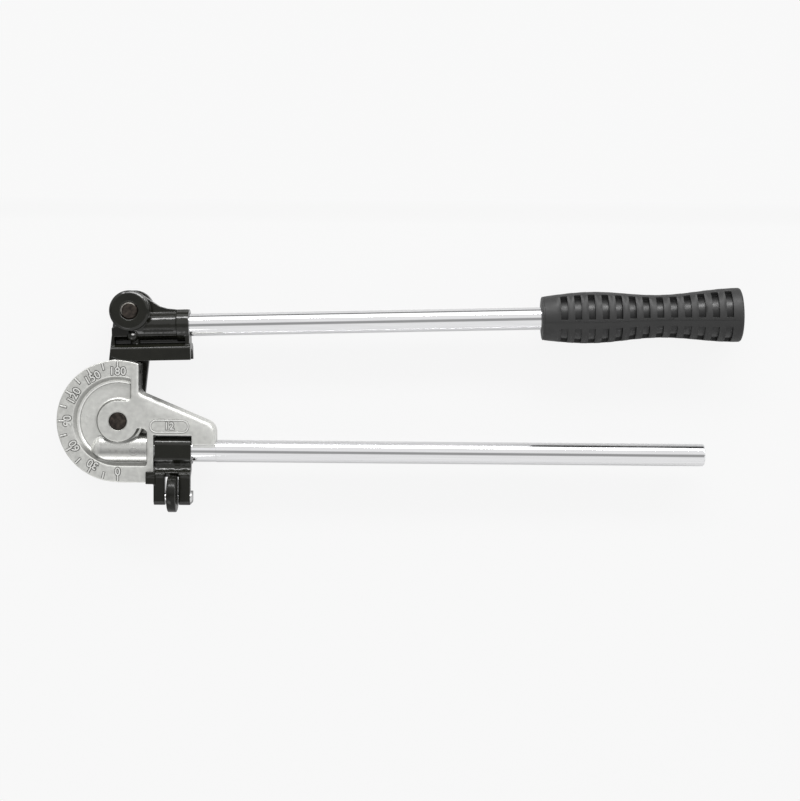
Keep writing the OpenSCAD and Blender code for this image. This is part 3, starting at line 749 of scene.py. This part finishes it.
# %% Ejector marks
mark = turned("mark", [(-0.9, 2.3), (0, 2.35), (0, 2.62), (-0.9, 2.67), (-0.9, 2.3)], "Z", 48)
places = [(0.4, 20.2, FLOOR + 0.09), (-19.6, 0, FLOOR + 0.09)]
marks = [copied(mark, Matrix.Translation(Vector(place) * MM)) for place in places]
marks = joined("ejector_marks", marks + [moved(mark, 9.8, -19.0, FRONT - 0.08)])
hand_over(marks, "frame", "cast_aluminium")
print("ejector marks:", len(marks.data.polygons), "faces")

# %% [markdown]
# ## The degree scale
# The scale is cast proud of the rim, with a short bar every 15 degrees. One bevelled bar is
# modelled and copied round the axis. A wider and lower set of dark bars lies round it, as painted
# shade.

# %% Bars of the scale
def scale_bars(name, half_width, rise):
    bar = softened(block(name, (-half_width, RIM - 4.4 - half_width, FRONT - 0.5),
                         (half_width, RIM - 0.5, FRONT + rise)), width=0.25)
    return joined(name, [bar] + [copied(bar, turn_of(angle)) for angle in range(15, 181, 15)])


for name, half_width, rise, finish in (("scale_bars", 0.5, 0.4, bright),
                                       ("bar_shades", 1.0, 0.06, outline_shade)):
    bars = scale_bars(name, half_width, rise)
    hand_over(bars, "frame", "cast_aluminium", finish=finish)
    print(name, len(bars.data.polygons), "faces")


# %% [markdown]
# Plain numbers stand every 30 degrees, with their feet to the hub. A number is a text object with a
# little depth, made a mesh before it is turned into place. Its dark edge, painted shade, is the same
# text, lower and with its outline grown.

# %% Numbers of the scale
def raised_number(text, size, low, high, grow):
    """Text with a flat top, from one height above the face to another, its outline grown a little."""
    deselect()
    bpy.ops.object.text_add()
    letters = bpy.context.object
    letters.data.body, letters.data.size = text, size * MM
    letters.data.align_x, letters.data.align_y = "CENTER", "CENTER"
    letters.data.extrude, letters.data.offset = (high - low) / 2 * MM, grow * MM
    letters.data.resolution_u = 4
    bpy.ops.object.convert(target="MESH")
    return moved(settle(bpy.context.object, "number"), 0, 0, FRONT + (low + high) / 2)


def scale_number(angle, low, high, grow):
    number = moved(raised_number(str(angle), 7.1, low, high, grow), 0, 31.1, 0)
    number.data.transform(turn_of(180 - angle))
    return number


for name, high, grow, finish in (("scale_numbers", 0.35, 0.1, bright),
                                 ("scale_shades", 0.06, 0.55, outline_shade)):
    numbers = joined(name, [scale_number(angle, -0.3, high, grow) for angle in range(0, 181, 30)])
    hand_over(numbers, "frame", "cast_aluminium", finish=finish)
    print(name, len(numbers.data.polygons), "faces")

# %% [markdown]
# ## The plate on the arm
# A raised oblong border frames the tube size, a plain number, on the arm. An inset could make the
# border, but here a smaller oblong is cut out of a larger one, which leaves clean walls for the
# bevel.

# %% Border and size number
PLATE = (32.1, -2.9)


def oblong(length, height):
    reach = (length - height) / 2
    return arc((reach, 0), height / 2, -90, 90) + arc((-reach, 0), height / 2, 90, 270)


def plate_ring(name, grow, rise):
    ring = carried(name, oblong(24.6 + grow, 8.4 + grow), "Z", -0.6, rise)
    cut(ring, carried("inside", oblong(22.8 - grow, 6.6 - grow), "Z", -2, 2))
    return moved(softened(ring, width=min(0.25, rise / 2)), PLATE[0], PLATE[1], FRONT)


def plate_number(low, high, grow):
    return moved(raised_number("12", 6.6, low, high, grow), PLATE[0], PLATE[1], 0)


plate = joined("plate_border", [plate_ring("ring", 0, 0.4), plate_number(-0.3, 0.35, 0.1)])
hand_over(plate, "frame", "cast_aluminium", finish=bright)
# A lower, larger dark copy round border and number: painted shade.
plate_shade = joined("plate_shade", [plate_ring("ring", 0.4, 0.06), plate_number(-0.3, 0.06, 0.45)])
hand_over(plate_shade, "frame", "cast_aluminium", finish=outline_shade)
print("plate:", len(plate.data.polygons), "faces, and", len(plate_shade.data.polygons), "round it")

# %% [markdown]
# ## The lever head
# A black casting: a round eye for the pivot, a socket for the lever, a web, and the shoe whose
# groove presses on the tube. As on the wheel, rough shapes are joined and covered by one soft skin.
# It is drawn square to the frame and then leaned with the lever. LEAN is that angle, EYE the
# pivot's place, and SHOE and FLANGE are the lower and upper edges of the shoe.

# %% Sizes of the head
LEAN = math.radians(1.55)
EYE = (9.5, 68.8)
LEVER_Y, SHOE, FLANGE = 59.0, 37.4, 45.6
SOCKET_END = 45.6
WEB_END = SOCKET_END - 0.8
EYE_DISC, LEVER_BORE = 12.5, 7.02


def leaned(piece):
    piece.data.transform(Matrix.Rotation(LEAN, 4, "Z"))
    return piece


print("head: pivot", round(math.hypot(*EYE), 1), "mm from the wheel's axis")

# %% [markdown]
# The web fills the room between shoe and lever. Above the lever it is thinner and ends in a hollow
# curve up to the eye. A deep gutter with a round floor is cut along its front and back.

# %% Web
web = carried("web", [(-2.4, FLANGE - 1), (WEB_END, FLANGE - 1), (WEB_END, LEVER_Y), (-1.9, LEVER_Y),
                      (-2.4, 52)], "Z", MID - 7, MID + 7)
top_web = carried("top_web", [(-1.9, LEVER_Y - 1), (WEB_END, LEVER_Y - 1), (WEB_END, 68.8), (38, 68.8),
                              (32, 69.5), (27, 71.0), (22, 74.4), (16.5, 78.2), (9.5, 78.8),
                              (-1.5, 68.8)], "Z", MID - 3, MID + 3)
GUTTER_Y, GUTTER_R = 49.1, 3.5
GUTTER_ENDS = (-0.9, SOCKET_END - 2.6)
for edge, open_side in ((arc((GUTTER_Y, MID + 5), GUTTER_R, 180, 360), 40),
                        (arc((GUTTER_Y, MID - 5), GUTTER_R, 180, 0), 0)):
    sides = [(GUTTER_Y + GUTTER_R, open_side), (FLANGE, open_side)]
    cut(web, carried("gutter", edge + sides, "X", *GUTTER_ENDS))
print("web:", len(web.data.polygons), "faces")

# %% [markdown]
# The eye is a thick round bar with a turned disc in front. The disc has a chamfer outside, and its
# hole is countersunk a little, so that the pin's edge, painted bright at its upper left as a painted
# highlight, shows.

# %% Eye
eye_back = round_bar("eye_back", 11.7, (*EYE, BACK), (*EYE, FRONT + 1))
eye_line = [(FRONT - 0.2, 0), (FRONT - 0.2, EYE_DISC), (FRONT + 2.8, EYE_DISC), (FRONT + 3.0, 12.42),
            (FRONT + 4, 10.9), (FRONT + 4, 6.0), (FRONT + 3.6, 5.6), (FRONT + 3.2, 0)]
eye_disc = moved(turned("eye_disc", eye_line, "Z", 160), *EYE, 0)
print("eye disc:", 2 * EYE_DISC, "mm across")

# %% [markdown]
# The socket for the lever is a round bar with a collar at its mouth, and a flat filed on its front.

# %% Socket
socket = round_bar("socket", 8.6, (EYE[0], LEVER_Y, MID), (SOCKET_END, LEVER_Y, MID))
collar = round_bar("collar", 9.8, (38, LEVER_Y, MID), (SOCKET_END, LEVER_Y, MID))
cut(socket, block("facet", (17, 48, MID + 7.75), (36, 56.8, 40)))
print("socket:", len(socket.data.polygons), "faces")

# %% [markdown]
# The shoe is one outline carried along the tube. Its upper edges get a bevel, and a round bar cuts
# its groove. At the left its heel is cut round about the pivot, so that it clears the wheel as it
# swings.

# %% Shoe
shoe = carried("shoe", [(SHOE, BACK), (FLANGE, BACK), (FLANGE + 2, MID - 6), (FLANGE + 2, MID + 6),
                        (FLANGE, FRONT), (SHOE, FRONT)], "X", -3.3, 46.3)
pick_edges(shoe, lambda a, b: abs(a.z - b.z) < 0.1 and abs(abs(a.z - MID) - HALF) < 0.1
           and min(a.y, b.y) > FLANGE - 0.1)
bpy.ops.mesh.bevel(offset=0.9 * MM, segments=4, affect="EDGES")
close_edit()
cut(shoe, round_bar("run", GROOVE, (-10, BEND, MID), (60, BEND, MID)))
heel = block("heel", (-5, SHOE - 1, 0), (EYE[0], FLANGE - 1, 40))
cut(heel, round_bar("sweep", math.hypot(*EYE) - RIM - 0.4, (*EYE, -5), (*EYE, 45), 256))
cut(shoe, heel)
print("shoe:", len(shoe.data.polygons), "faces")

# %% [markdown]
# A wall closes each end of the gutters. A round rib with a ball-shaped nose stands under the eye.
# Rib and nose are made at the front and copied to the back.

# %% End walls and ribs
walls = [block("wall", (low, FLANGE - 1, MID - 7.4), (high, LEVER_Y - 1, MID + 7.4))
         for low, high in ((-2.4, GUTTER_ENDS[0]), (GUTTER_ENDS[1], SOCKET_END))]
RIB_OUT, NOSE_OUT = 2.6, 5.98
rib = round_bar("rib", 2.8, (11.6, FLANGE, MID + RIB_OUT), (11.6, 53.6, MID + RIB_OUT), 64)
deselect()
bpy.ops.mesh.primitive_uv_sphere_add(segments=48, ring_count=24, radius=3.5 * MM,
                                     location=Vector((10.4, 53.0, MID + NOSE_OUT)) * MM)
nose = settle(bpy.context.object, "rib_nose")
ribs = [rib, nose] + [copied(piece, Matrix.Translation((0, 0, -2 * out * MM)))
                      for piece, out in ((rib, RIB_OUT), (nose, NOSE_OUT))]
print("walls and ribs:", len(walls), "and", len(ribs))

# %% [markdown]
# The bores for the lever and the pin go through every shape that they meet. Then the head gets its
# skin and leans.

# %% Bores of the head, skin and lean
lever_bore = round_bar("lever_bore", LEVER_BORE, (21.6, LEVER_Y, MID), (60, LEVER_Y, MID))
eye_bore = round_bar("eye_bore", PIN_BORE, (*EYE, -5), (*EYE, 45))
head_shapes = [web, top_web, eye_back, eye_disc, socket, collar, shoe] + walls + ribs
for shape in head_shapes:
    cut(shape, lever_bore, keep_tool=True)
    cut(shape, eye_bore, keep_tool=True)
for tool in (lever_bore, eye_bore):
    bpy.data.objects.remove(tool)
head = leaned(cast_skin(joined("head_casting", head_shapes), 0.3, 4, 0.4))
hand_over(head, "lever", "black_paint", "lever_head")

# %% [markdown]
# ## The link
# A flat black bar behind the wheel with round ends, punched from sheet. It is an outline with two
# half circles, carried to its thickness, bored, and bevelled.

# %% Link bar
SPAN, LINK_END = math.hypot(*EYE), 12.5
link_line = arc((SPAN, 0), LINK_END, -90, 90, 40) + arc((0, 0), LINK_END, 90, 270, 40)
link = carried("link", link_line, "Z", 1.9, 6.9)
for hole_x in (0, SPAN):
    cut(link, round_bar("hole", 5.55, (hole_x, 0, -5), (hole_x, 0, 20), 96))
softened(link, width=0.5)
print("link:", round(SPAN + 2 * LINK_END, 1), "mm long")
link.data.transform(Matrix.Rotation(LEAN + math.atan2(EYE[1], EYE[0]), 4, "Z"))
hand_over(link, "link", "black_paint", "link_bar")

# %% [markdown]
# ## The latch
# A black casting that turns on the fixed handle: a knuckle in the arm's notch, square with round
# corners, a neck, two ears that pass in front of the tube and hook under it, and a lug that stops
# on the wheel's face. Most of them are outlines seen along the handle and carried along it.

# %% Knuckle and neck
KNUCKLE = (22.65, 45.45)
corners = [(ROD_Y + y * 3.7, MID + z * 3.7, turn) for y, z, turn in
           ((1, 1, 0), (-1, 1, 90), (-1, -1, 180), (1, -1, 270))]
knuckle = carried("knuckle", [point for y, z, turn in corners
                              for point in arc((y, z), 4.8, turn, turn + 90)], "X", *KNUCKLE)
crest = block("crest", (KNUCKLE[0], ROD_Y, MID - 3), (KNUCKLE[1], ROD_Y + 9.4, MID + 3))
neck = carried("neck", [(ROD_Y, MID + 2), (-31, MID + 2), (-33, MID + 4.3), (-34.6, MID + 6.3),
                        (-34.6, MID + 8.5), (-32.4, MID + 9.6), (-31.6, MID + 9.6), (-31, MID + 8.6),
                        (-30.2, MID + 7.6), (-29.2, MID + 6.9), (-28, MID + 6.5),
                        (ROD_Y - 7, MID + 6.99)], "X", *KNUCKLE)
print("knuckle:", round(KNUCKLE[1] - KNUCKLE[0], 1), "mm wide")

# %% [markdown]
# Both ears have the same outline. It starts inside the neck, passes over the tube and turns in
# under it. EARS gives where each begins and ends along the handle. A rivet goes through both.

# %% Ears, lug and bores
RIVET_Y, RIVET_Z = -47, MID + 9
ear_side = [(-31, MID + 10.4), (-31, MID + 2), (-33, MID + 4.3), (-35, MID + 6.7), (-44.7, MID + 6.7),
            (-44.7, MID - 7), (-51, MID - 7), (-52, MID - 6), (-52, MID + 9.9), (-50, MID + 11.9),
            (-32.5, MID + 11.9)]
EARS = ((KNUCKLE[0], KNUCKLE[0] + 7.05), (KNUCKLE[1] - 7.15, KNUCKLE[1]))
ears = [carried("ear", ear_side, "X", *ear) for ear in EARS]
lug = block("lug", (KNUCKLE[0] - 4.9, -38.9, FRONT + 0.4), (KNUCKLE[0] + 1, -31, FRONT + 3.4))
latch_bore = round_bar("latch_bore", 6.85, (10, ROD_Y, MID), (60, ROD_Y, MID))
rivet_bore = round_bar("rivet_bore", 1.82, (10, RIVET_Y, RIVET_Z), (60, RIVET_Y, RIVET_Z), 64)
latch_shapes = [knuckle, crest, neck, lug] + ears
for shape in latch_shapes:
    cut(shape, latch_bore, keep_tool=True)
    cut(shape, rivet_bore, keep_tool=True)
for tool in (latch_bore, rivet_bore):
    bpy.data.objects.remove(tool)
latch = cast_skin(joined("latch_casting", latch_shapes), 0.3, 4, 0.5)
hand_over(latch, "latch", "black_paint", "latch_hook")

# %% [markdown]
# Between the ears sits a narrow disc on the rivet, whose hole is off its middle, so it works as a
# cam on the tube. Disc and rivet are turned parts, so both are turned profiles here.

# %% Cam and rivet
cam_line = [(0, 0), (0, 10.5), (0.2, 11.0), (0.7, 11.3), (4.9, 11.3), (5.4, 11.0), (5.6, 10.5),
            (5.6, 0)]
cam = moved(turned("cam", cam_line, "X", 128), EARS[1][0] - 5.9, -44.3, MID + 16.3)
cut(cam, round_bar("hole", 1.85, (20, RIVET_Y, RIVET_Z), (50, RIVET_Y, RIVET_Z), 48))
smooth_shaded(cam, 35)
hand_over(cam, "cam", "black_paint", "latch_cam", finish=oxide)
rivet = moved(turned("rivet", [(0, 0), (0, 1.8), (22.8, 1.8), (22.8, 3.2), (23.3, 3.05), (23.8, 2.6),
                               (24.1, 1.9), (24.25, 1.0), (24.3, 0)], "X", 64),
              KNUCKLE[0], RIVET_Y, RIVET_Z)
smooth_shaded(rivet, 35)
hand_over(rivet, "latch", "zinc", "latch_rivet")
print("cam and rivet:", len(cam.data.polygons), "and", len(rivet.data.polygons), "faces")

# %% [markdown]
# ## Handles
# Both handles are chromed steel tube. A cylinder with a bevel would do, but the fixed one is turned
# down where it sits in the wheel and has a rounded free end, so both are turned profiles.

# %% Handles
fixed_line = [(-6, 5), (-6, 6.8), (60.9, 6.8), (61, 7), (366.2, 7), (366.8, 6.6), (367, 6.1), (367, 5),
              (340, 5)]
fixed = moved(turned("fixed_handle", fixed_line, "X", 160), 0, ROD_Y, MID)
lever_line = [(21.6, 5), (21.6, 7), (384.3, 7), (384.3, 5)]
lever = leaned(moved(turned("lever_bar", lever_line, "X", 160), 0, LEVER_Y, MID))
for bar in (fixed, lever):
    smooth_shaded(bar, 25)
    reach = [corner.co.x / MM for corner in bar.data.vertices]
    print(bar.name, "from", round(min(reach), 1), "to", round(max(reach), 1), "mm")
hand_over(fixed, "frame", "chrome", "fixed_handle_tube")
hand_over(lever, "lever", "chrome", "lever_tube")


# %% [markdown]
# ## Pivot pins
# Two plain turned pins, with a groove near the back for their retaining rings and a chamfer at the
# front. One profile serves both: only the height of its top and the chamfer differ.

# %% Pivot pins
def pivot_pin(name, top, chamfer):
    pin = turned(name, [(0, 0), (0, 5.2), (0.3, 5.5), (0.8, 5.5), (0.8, 4.9), (1.9, 4.9), (1.9, 5.5),
                        (top - chamfer, 5.5), (top, 5.5 - chamfer), (top, 0)], "Z", 96)
    print(name, round(top, 1), "mm long")
    return smooth_shaded(pin, 30)


hand_over(pivot_pin("wheel_pin", FRONT - 0.3, 0.6), "frame", "dark_pin", "wheel_pivot_pin")
eye_pin = leaned(moved(pivot_pin("eye_pin", FRONT + 3.6, 1.0), *EYE, 0))
hand_over(eye_pin, "lever", "dark_pin", "head_pivot_pin")

# %% [markdown]
# ## The grip
# Soft black rubber, moulded with a palm swell, a waist and a flared end. It is turned, from a
# profile whose points already stand where the windows will begin and end, so that windows are whole
# faces.

# %% Grip body
GRIP, GRIP_L, DOME = 265.6, 125.2, 3.0
PITCH, WINDOW, FIRST, WINDOWS = 8.5, 4.6, 13.2, 13
SWELL_END, WAIST_END = 31, 73


def grip_radius(s):
    """Radius of the grip at a place along it: a rising swell, a fall to the waist, a rising flare."""
    if s < SWELL_END:
        return 13.5 + 2.6 * math.sin(math.pi / 2 * s / SWELL_END)
    if s < WAIST_END:
        return 13.4 + 2.7 * (1 + math.cos(math.pi * (s - SWELL_END) / (WAIST_END - SWELL_END))) / 2
    flared = min(1, (s - WAIST_END) / (GRIP_L - DOME - WAIST_END))
    return 16.9 - 3.5 * (1 + math.cos(math.pi * flared)) / 2


stops = [1.5, 3.5, 6.0, 8.5]
for i in range(WINDOWS):
    middle = FIRST + i * PITCH
    stops += [middle - WINDOW / 2, middle - WINDOW / 6, middle + WINDOW / 6, middle + WINDOW / 2]
    stops += [middle + PITCH / 2]
stops += [GRIP_L - DOME]
grip_line = [(-0.5, 7.02), (-0.5, 8.2), (-0.2, 11.6), (0, 13.0), (0.3, 13.5), (0.9, 13.6), (1.2, 13.4)]
grip_line += [(s, grip_radius(s)) for s in stops]
grip_line += [(GRIP_L - 2.2, 16.85), (GRIP_L - 1.5, 16.4), (GRIP_L - 1.1, 15.5), (GRIP_L - 0.6, 12.0),
              (GRIP_L - 0.2, 7.0), (GRIP_L, 1.2), (GRIP_L + 0.7, 1.1), (GRIP_L + 0.8, 0)]
grip = turned("grip", grip_line, "X", 72)
print("grip cage:", len(grip.data.polygons), "faces")


# %% [markdown]
# Four rows of sunk windows leave four plain strips along the grip. The window faces are picked by
# their place, inset a little and pushed in. Afterwards each face gets a mark that grows with its
# depth below the plain grip, which the rubber reads as painted shade and smoothness.

# %% Sunk windows
def in_window(face):
    s = face.center.x / MM
    i = round((s - FIRST) / PITCH)
    if not 0 <= i < WINDOWS or abs(s - FIRST - i * PITCH) > WINDOW / 2:
        return False
    turn = math.degrees(math.atan2(face.center.y, face.center.z))
    from_strip = abs((turn + 15 + 45) % 90 - 45)
    return from_strip > 10


pick(grip)
bpy.ops.object.mode_set(mode="EDIT")
bpy.ops.mesh.select_all(action="DESELECT")
bpy.ops.object.mode_set(mode="OBJECT")
for face in grip.data.polygons:
    face.select = in_window(face)
bpy.ops.object.mode_set(mode="EDIT")
bpy.ops.mesh.select_mode(type="FACE")
bpy.ops.mesh.inset(thickness=0.25 * MM, depth=0)
bpy.ops.mesh.extrude_region_shrink_fatten(TRANSFORM_OT_shrink_fatten={"value": -2.5 * MM})
close_edit(outwards=False)
softened(grip, angle=50, width=0.3, segments=2)
# This mark paints the windows blacker the deeper they lie: painted shade.
window_shade_mark = grip.data.attributes.new("sunk", "FLOAT", "FACE")
for face in grip.data.polygons:
    s, out = face.center.x / MM, math.hypot(face.center.y, face.center.z) / MM
    window_shade_mark.data[face.index].value = min(1, max(0, (grip_radius(s) - out) / 2)) if 5 < s < 120 else 0
leaned(moved(grip, GRIP, LEVER_Y, MID))
hand_over(grip, "lever", "black_rubber", "lever_grip")
print("grip with windows:", len(grip.data.polygons), "faces")

# %% [markdown]
# The mould closed along two lines, and each left a thin raised seam that follows the swell and the
# waist. A seam is the grip's own profile, carried a fraction of a millimetre sideways and turned.

# %% Mould seams
along_grip = [(s, grip_radius(s)) for s in [1.5 + 2 * i for i in range(61)]]
seam_line = [(s, r + 0.16) for s, r in along_grip] + [(s, r - 1) for s, r in reversed(along_grip)]
seam = softened(carried("seam", seam_line, "Z", -0.2, 0.2), width=0.08, segments=2)
seam.data.transform(turn_of(99, "X"))
seams = joined("grip_seams", [seam, copied(seam, turn_of(180, "X"))])
hand_over(leaned(moved(seams, GRIP, LEVER_Y, MID)), "lever", "black_rubber")
print("seams:", len(seams.data.polygons), "faces")

# %% [markdown]
# ## Floor
# The tool lies on a white sheet, and the bench beyond the sheet is dark, which draws the thin dark
# line along the top of the lever. The camera sees both almost white, with a faint shadow on the
# sheet, and the metal sees a little of that white. So the floor mixes a plain surface with a glow,
# by kind of ray.

# %% Floor
deselect()
bpy.ops.mesh.primitive_plane_add(size=8, location=(0.17, 0, -0.0004))
floor = settle(bpy.context.object, "floor")
pale = Finish("pale_floor", Roughness=0.9)
bench = pale.band(pale.part("Y"), 0.125, 0.14)
pale.feed(Base_Color=pale.mix(bench, (0.62, 0.62, 0.62), (0.06, 0.06, 0.06)))
camera_ray = pale.node("ShaderNodeLightPath", out="Is Camera Ray")
glossy_ray = pale.node("ShaderNodeLightPath", out="Is Glossy Ray")
glow = pale.tree.nodes.new("ShaderNodeEmission")
white = pale.mix(bench, (0.956, 0.956, 0.956), (0.942, 0.942, 0.942))
pale.tree.links.new(white.socket, glow.inputs["Color"])
blend = pale.tree.nodes.new("ShaderNodeMixShader")
amount = camera_ray * (0.92 + 0.08 * bench) + glossy_ray * (0.3 - 0.3 * bench)
pale.tree.links.new(amount.socket, blend.inputs[0])
pale.tree.links.new(pale.shader.outputs[0], blend.inputs[1])
pale.tree.links.new(glow.outputs[0], blend.inputs[2])
pale.tree.links.new(blend.outputs[0], pale.tree.nodes["Material Output"].inputs[0])
floor.data.materials.append(pale.material)
print("floor:", len(pale.tree.nodes), "nodes")

# %% [markdown]
# ## Room and lamps
# The room itself is the main light: grey all round, dimmer overhead where the camera stands and
# white along one side, which draws the bands along the chrome. It could be a picture of a studio,
# but a few bands by angle are enough. One long lamp adds the sharp highlights, and a weak one
# lights the wheel from the left.

# %% Room
world = bpy.data.worlds.new("studio")
bpy.context.scene.world = world
world.use_nodes = True
room = Sheet(world.node_tree, "Generated")
lean_over = room.part("Y").maths("ARCTAN2", room.part("Z"))
overhead = room.band((lean_over + 0.05).maths("ABSOLUTE", 0), 0.30, 0.16)
white_wall = room.band(lean_over, 0.98, 1.08) * room.band(lean_over, 1.75, 1.6)
seen = room.node("ShaderNodeLightPath", out="Is Camera Ray")
left_dark = room.band(room.part("X"), -0.3, -0.75)
light = (0.90 - 0.55 * overhead + 0.45 * white_wall) * (1.0 - 0.45 * left_dark)
level = light * (1.0 - seen) + 0.93 * seen
world.node_tree.links.new(level.socket, world.node_tree.nodes["Background"].inputs["Strength"])
world.node_tree.nodes["Background"].inputs["Color"].default_value = (1, 1, 1, 1)
print("room:", len(world.node_tree.nodes), "nodes")


# %% Lamps
def lamp(name, place, aim, width, height, power):
    deselect()
    bpy.ops.object.light_add(type="AREA", location=place)
    made = bpy.context.object
    made.name = name
    made.rotation_euler = (Vector(aim) - Vector(place)).to_track_quat("-Z", "Y").to_euler()
    made.data.shape, made.data.size, made.data.size_y = "RECTANGLE", width, height
    made.data.energy = power
    print(name, "lamp:", power, "watts")


lamp("key", (0.45, 1.32, 0.78), (0.3, 0.02, 0.0), 2.6, 0.26, 29)
lamp("left_fill", (-0.29, -0.75, 0.62), (0.02, -0.03, 0.0), 0.46, 0.3, 1.2)

# %% [markdown]
# ## Camera
# The camera looks down on the tool from over its upper half, and is turned by half a degree. Its
# three axes are worked out with cross products, because a plain aim would not keep that turn.

# %% Camera
eye_at, look_at = Vector((0.1758, 0.083, 1.125)), Vector((0.1758, 0.0142, 0.020))
deselect()
bpy.ops.object.camera_add(location=eye_at)
camera = bpy.context.object
ahead = (look_at - eye_at).normalized()
tilt = math.radians(0.5)
upward = Vector((-math.sin(tilt), math.cos(tilt), 0))
across = ahead.cross(upward).normalized()
above = across.cross(ahead).normalized()
camera.rotation_euler = Matrix((across, above, -ahead)).transposed().to_euler()
camera.data.lens, camera.data.sensor_width = 79.55, 36.0
bpy.context.scene.camera = camera
bpy.context.scene.view_settings.view_transform = "Standard"
print("camera:", round((look_at - eye_at).length, 3), "m from the tool")
